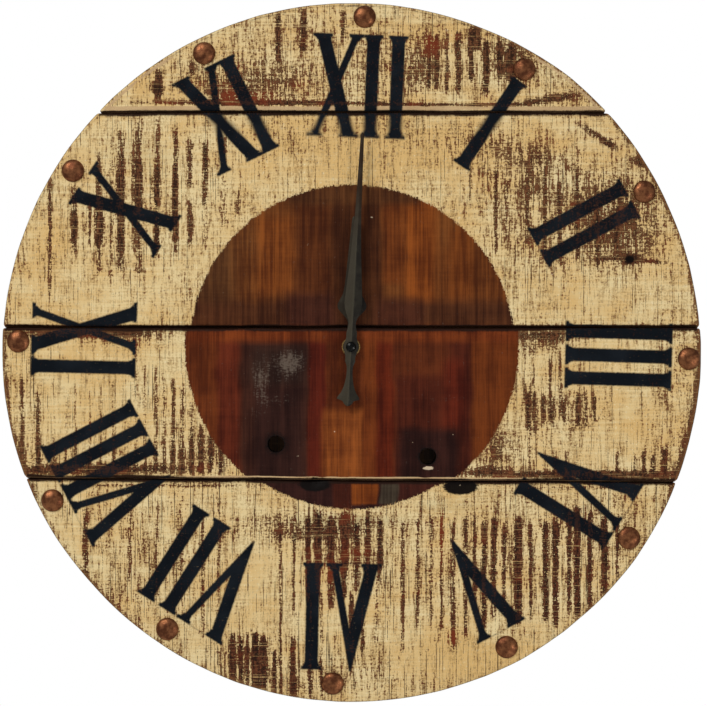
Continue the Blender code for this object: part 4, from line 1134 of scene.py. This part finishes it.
MINUTE = (
    (-51.7, 0.9), (-50.6, 2.9), (-49.2, 3.9), (-47.8, 4.6), (-46.9, 5.6), (-46.4, 8.2), (-45.6, 10.3),
    (-44.4, 9.7), (-42.6, 8.4), (-40.4, 6.9), (-38.0, 5.7), (-35.0, 4.6), (-31.5, 3.7), (-27.0, 3.0),
    (-22.0, 2.6), (-17.5, 2.7), (-14.6, 3.7), (-12.6, 4.5), (-10.6, 4.3), (-8.0, 4.5), (-5.0, 5.3),
    (-2.5, 6.1), (0.0, 6.4), (2.5, 6.1), (5.0, 5.3), (8.0, 4.5), (11.0, 4.7), (13.0, 4.5),
    (16.0, 3.7), (20.0, 3.0), (23.0, 3.5), (28.0, 5.4), (33.0, 7.1), (38.0, 7.8), (44.0, 7.4),
    (52.0, 6.8), (62.0, 6.0), (78.8, 4.7), (98.0, 3.6), (119.0, 2.7), (150.0, 2.1), (185.6, 1.5),
    (187.4, 0.6),
)
HOUR = (
    (-7.0, 2.4), (-5.6, 4.6), (-3.0, 6.5), (0.0, 7.1), (3.0, 6.5), (5.6, 5.0), (8.0, 4.3), (12.0, 3.8),
    (17.0, 3.4), (21.5, 3.2), (24.0, 4.2), (27.0, 6.6), (30.0, 9.6), (33.0, 12.1), (35.6, 12.8),
    (38.0, 12.3), (42.0, 10.2), (46.0, 8.2), (52.0, 7.0), (62.0, 6.0), (76.0, 4.8), (92.0, 3.4),
    (106.0, 2.2), (112.6, 1.6), (114.0, 0.7),
)


def hand_metal(name, left, crest, right, tip):
    """Aged steel in four tones: the left side with painted light, a painted highlight on the crest,
    the right side in painted shade, and the tip.
    """
    s = Shade(name, 0.35, 0.5)
    cloud = s.noise((9.0, 9.0, 9.0), 4.0, 3.0, 0.6)
    speck = s.noise((0.7, 0.7, 0.7), 5.0, 2.0)
    drag = s.noise((0.6, 2.0, 14.0), 6.0, 2.0)
    painted_shade_side = s.add((s.read("painted_shade_side"), 1.0), (speck, 0.2), -0.1)
    # painted light on the left side, painted shade on the right side, a painted highlight along the
    # crest
    base = s.mix(s.ease(painted_shade_side, -0.05, 0.10), srgb(*left), srgb(*right))
    base = s.over(base, crest, s.math("ABSOLUTE", painted_shade_side), 0.20, 0.0, 0.7)
    base = s.over(base, tip, s.read("reach"), 0.45, 0.75)
    base = s.over(base, (66, 62, 50), cloud, 0.40, 0.66, 0.22)
    base = s.over(base, (22, 20, 17), speck, 0.56, 0.74, 0.3)
    s.bump(s.add((speck, 0.5), (drag, 0.5), 0.0), 0.03, 0.4)
    return s.set(Base_Color=base, Roughness=s.ease(drag, 0.3, 0.7, 0.42, 0.62), Specular_IOR_Level=0.2)


# the first three tones are painted light, a painted highlight and painted shade
hour_look = hand_metal("blackened_steel_painted_facets", (38, 31, 21), (56, 49, 36), (19, 14, 10), (46, 38, 27))
minute_look = hand_metal("greyed_steel_painted_facets", (56, 50, 39), (66, 61, 49), (25, 21, 16), (42, 27, 14))
hour_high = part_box("hour_hand")[1]
minute_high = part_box("minute_hand")[1]
hand("ridged_hour_hand", "hour_set", "hour_hand", HOUR, 1.4, hour_high.y / MM, 1.5, 2.6, hour_look)
hand("ridged_minute_hand", "minute_set", "minute_hand", MINUTE, 3.1, minute_high.y / MM, 1.4, 1.15,
     minute_look)


# ---------------------------------------------------------------- the other pieces keep their shape

def plain(name, dark, light, metallic, rough, size, depth, seed):
    """Two tones and a texture of the given grain size, for small moulded or metal pieces."""
    s = Shade(name, metallic, rough)
    cloud = s.noise(tuple(4.0 * v for v in size), seed, 2.0)
    speck = s.noise(size, seed + 1.0, 3.0, 0.6)
    base = s.mix(s.ease(s.add((cloud, 0.7), (speck, 0.5), -0.1), 0.3, 0.7), srgb(*dark), srgb(*light))
    s.bump(speck, depth, 0.6)
    return s.set(Base_Color=base, Roughness=s.ease(speck, 0.25, 0.75, rough - 0.08, rough + 0.12))


def rough_wood():
    s = Shade("walnut_batten")
    line = s.noise((1.3, 1.3, 60.0), 8.0, 4.0, 0.6, 0.6)
    wide = s.noise((9.0, 9.0, 150.0), 9.0, 3.0, 0.5, 0.8)
    saw = s.noise((40.0, 40.0, 1.6), 10.0, 2.0)
    figure = s.ease(s.add((line, 0.6), (wide, 0.6), -0.1), 0.34, 0.66)
    base = s.mix(figure, srgb(60, 38, 25), srgb(122, 84, 54))
    base = s.over(base, (142, 106, 72), saw, 0.55, 0.72, 0.4)
    s.bump(s.add((line, 0.6), (saw, 0.4), 0.0), 0.4, 0.8)
    return s.set(Base_Color=base, Roughness=s.ease(line, 0.3, 0.7, 0.66, 0.86))


def dress(name, look):
    mesh = nodes[name].data
    mesh.materials.clear()
    mesh.materials.append(look)


# name, dark and light tone, metallic, roughness, grain size, bump depth, and the nodes that have it
PLAIN = (
    ("worn_brass", (120, 88, 46), (196, 158, 96), 1.0, 0.24, (0.5, 0.5, 0.5), 0.03,
     ("threaded_bushing", "brass_washer", "hex_nut", "centre_wheel")),
    ("yellow_zinc", (146, 126, 78), (196, 180, 128), 1.0, 0.32, (0.6, 0.6, 0.6), 0.04,
     ("sawtooth_hanger", "hanger_nail_left", "hanger_nail_right", *screw_names)),
    ("moulded_case", (20, 20, 22), (32, 32, 35), 0.0, 0.42, (0.35, 0.35, 0.35), 0.05,
     ("movement_case", "movement_cover", "setting_knob")),
    ("soft_rubber", (22, 22, 22), (36, 35, 34), 0.0, 0.74, (0.5, 0.5, 0.5), 0.08,
     ("rubber_gasket",)),
    ("ivory_gear", (206, 198, 172), (230, 224, 202), 0.0, 0.36, (0.5, 0.5, 0.5), 0.02,
     ("hour_wheel", "motion_wheel", "setting_wheel", "third_wheel", "fifth_wheel")),
    ("blue_gear", (34, 78, 122), (52, 100, 148), 0.0, 0.34, (0.5, 0.5, 0.5), 0.02,
     ("second_wheel",)),
    ("magnet", (52, 52, 56), (84, 84, 88), 0.7, 0.36, (0.4, 0.4, 0.4), 0.03, ("rotor",)),
    ("rolled_steel", (150, 150, 148), (190, 190, 186), 1.0, 0.34, (0.3, 0.3, 3.0), 0.03,
     ("stator",)),
    ("wound_copper", (122, 50, 22), (186, 92, 48), 0.9, 0.34, (1.2, 1.2, 0.18), 0.10, ("coil",)),
    ("board_resin", (20, 74, 42), (34, 98, 58), 0.0, 0.38, (0.6, 0.6, 0.6), 0.03,
     ("circuit_board",)),
    ("chip_epoxy", (14, 14, 14), (26, 26, 26), 0.0, 0.34, (0.4, 0.4, 0.4), 0.04, ("clock_chip",)),
    ("crystal_can", (176, 176, 178), (206, 206, 206), 1.0, 0.24, (0.5, 0.5, 0.5), 0.02,
     ("quartz_crystal", "battery_contact_left", "battery_contact_right")),
    ("black_nut", (14, 14, 14), (30, 30, 29), 0.9, 0.26, (0.5, 0.5, 0.5), 0.03, ("hand_nut",)),
)
for number, (*values, users) in enumerate(PLAIN):
    look = plain(*values, 12.0 + 2.0 * number)
    for user in users:
        dress(user, look)
walnut = rough_wood()
dress("batten_left", walnut)
dress("batten_right", walnut)


def battery_wrap():
    """A plain sleeve: dark, with a copper-coloured end and a bare steel cap."""
    s = Shade("battery_sleeve", 0.35, 0.3)
    fine = s.noise((0.5, 0.5, 0.5), 40.0, 2.0)
    split = s.tree.nodes.new("ShaderNodeSeparateXYZ")
    s.put(split.inputs[0], s.where)
    low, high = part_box("battery")
    span = high.x - low.x
    band = s.ease(split.outputs[0], high.x - 0.30 * span, high.x - 0.29 * span)
    cap = s.ease(split.outputs[0], high.x - 0.05 * span, high.x - 0.045 * span)
    paper = s.mix(band, srgb(26, 26, 28), srgb(186, 118, 62))
    paper = s.over(paper, (60, 58, 56), fine, 0.5, 0.7, 0.25)
    s.bump(fine, 0.02, 0.4)
    paper = s.mix(cap, paper, srgb(200, 200, 200))
    return s.set(Base_Color=paper, Roughness=s.ease(fine, 0.3, 0.7, 0.24, 0.38))


dress("battery", battery_wrap())


# ---------------------------------------------------------------- floor, light and camera

floor_mesh = bpy.data.meshes.new("studio_floor")
FLOOR_R = 1.5
FLOOR_SIDES = 64
FLOOR_DROP = 0.30
turns = [2.0 * math.pi * k / FLOOR_SIDES for k in range(FLOOR_SIDES)]
ring = [(FLOOR_R * math.cos(a), FLOOR_R * math.sin(a), 0.0) for a in turns]
floor_mesh.from_pydata(ring, [], [tuple(range(FLOOR_SIDES))])
floor = place("studio_floor", floor_mesh)
floor.location = (0.0, 0.0, low_low.z - FLOOR_DROP)
floor_look = Shade("studio_floor", 0.0, 0.9)
floor_tone = floor_look.noise((400.0, 400.0, 400.0), 50.0, 2.0)
floor_look.set(Base_Color=floor_look.mix(floor_tone, srgb(238, 238, 236), srgb(246, 246, 244)))
floor_mesh.materials.append(floor_look.mat)

world = bpy.data.worlds.new("studio")
bpy.context.scene.world = world
world.use_nodes = True
tree = world.node_tree
tree.nodes.clear()
path = tree.nodes.new("ShaderNodeLightPath")
blend = tree.nodes.new("ShaderNodeMixShader")
out = tree.nodes.new("ShaderNodeOutputWorld")
tree.links.new(path.outputs["Is Camera Ray"], blend.inputs[0])
for socket, colour, strength in ((1, (0.94, 0.97, 1.0, 1.0), 0.42), (2, (1.0, 1.0, 1.0, 1.0), 1.0)):
    sky = tree.nodes.new("ShaderNodeBackground")
    sky.inputs["Color"].default_value = colour
    sky.inputs["Strength"].default_value = strength
    tree.links.new(sky.outputs[0], blend.inputs[socket])
tree.links.new(blend.outputs[0], out.inputs["Surface"])


def lamp(name, where, size, power, colour):
    data = bpy.data.lights.new(name, "AREA")
    data.shape = "DISK"
    data.size = size
    data.energy = power
    data.color = colour
    ob = place(name, data)
    ob.location = where
    aim = Vector((0.0, FRONT * MM, CENTRE_Z)) - Vector(where)
    ob.rotation_euler = aim.to_track_quat("-Z", "Y").to_euler()


lamp("key", (-1.3, -2.0, CENTRE_Z + 1.7), 1.1, 44.0, (1.0, 0.98, 0.95))
lamp("side", (1.5, -1.8, CENTRE_Z - 0.7), 0.35, 12.0, (1.0, 0.97, 0.93))
lamp("rear", (0.6, 1.8, CENTRE_Z + 1.2), 1.2, 22.0, (0.95, 0.97, 1.0))

# the camera stands DISTANCE in front of the boards and sees FIELD metres across
DISTANCE = 2.5
FIELD = 0.6193
camera_data = bpy.data.cameras.new("camera")
camera = place("camera", camera_data)
camera.location = (0.0, FRONT * MM - DISTANCE, CENTRE_Z)
camera.rotation_euler = (math.radians(90.0), 0.0, 0.0)
camera_data.sensor_width = 36.0
camera_data.lens = 36.0 * DISTANCE / FIELD
camera_data.clip_end = 50.0
bpy.context.scene.camera = camera
bpy.context.scene.view_settings.view_transform = "Standard"
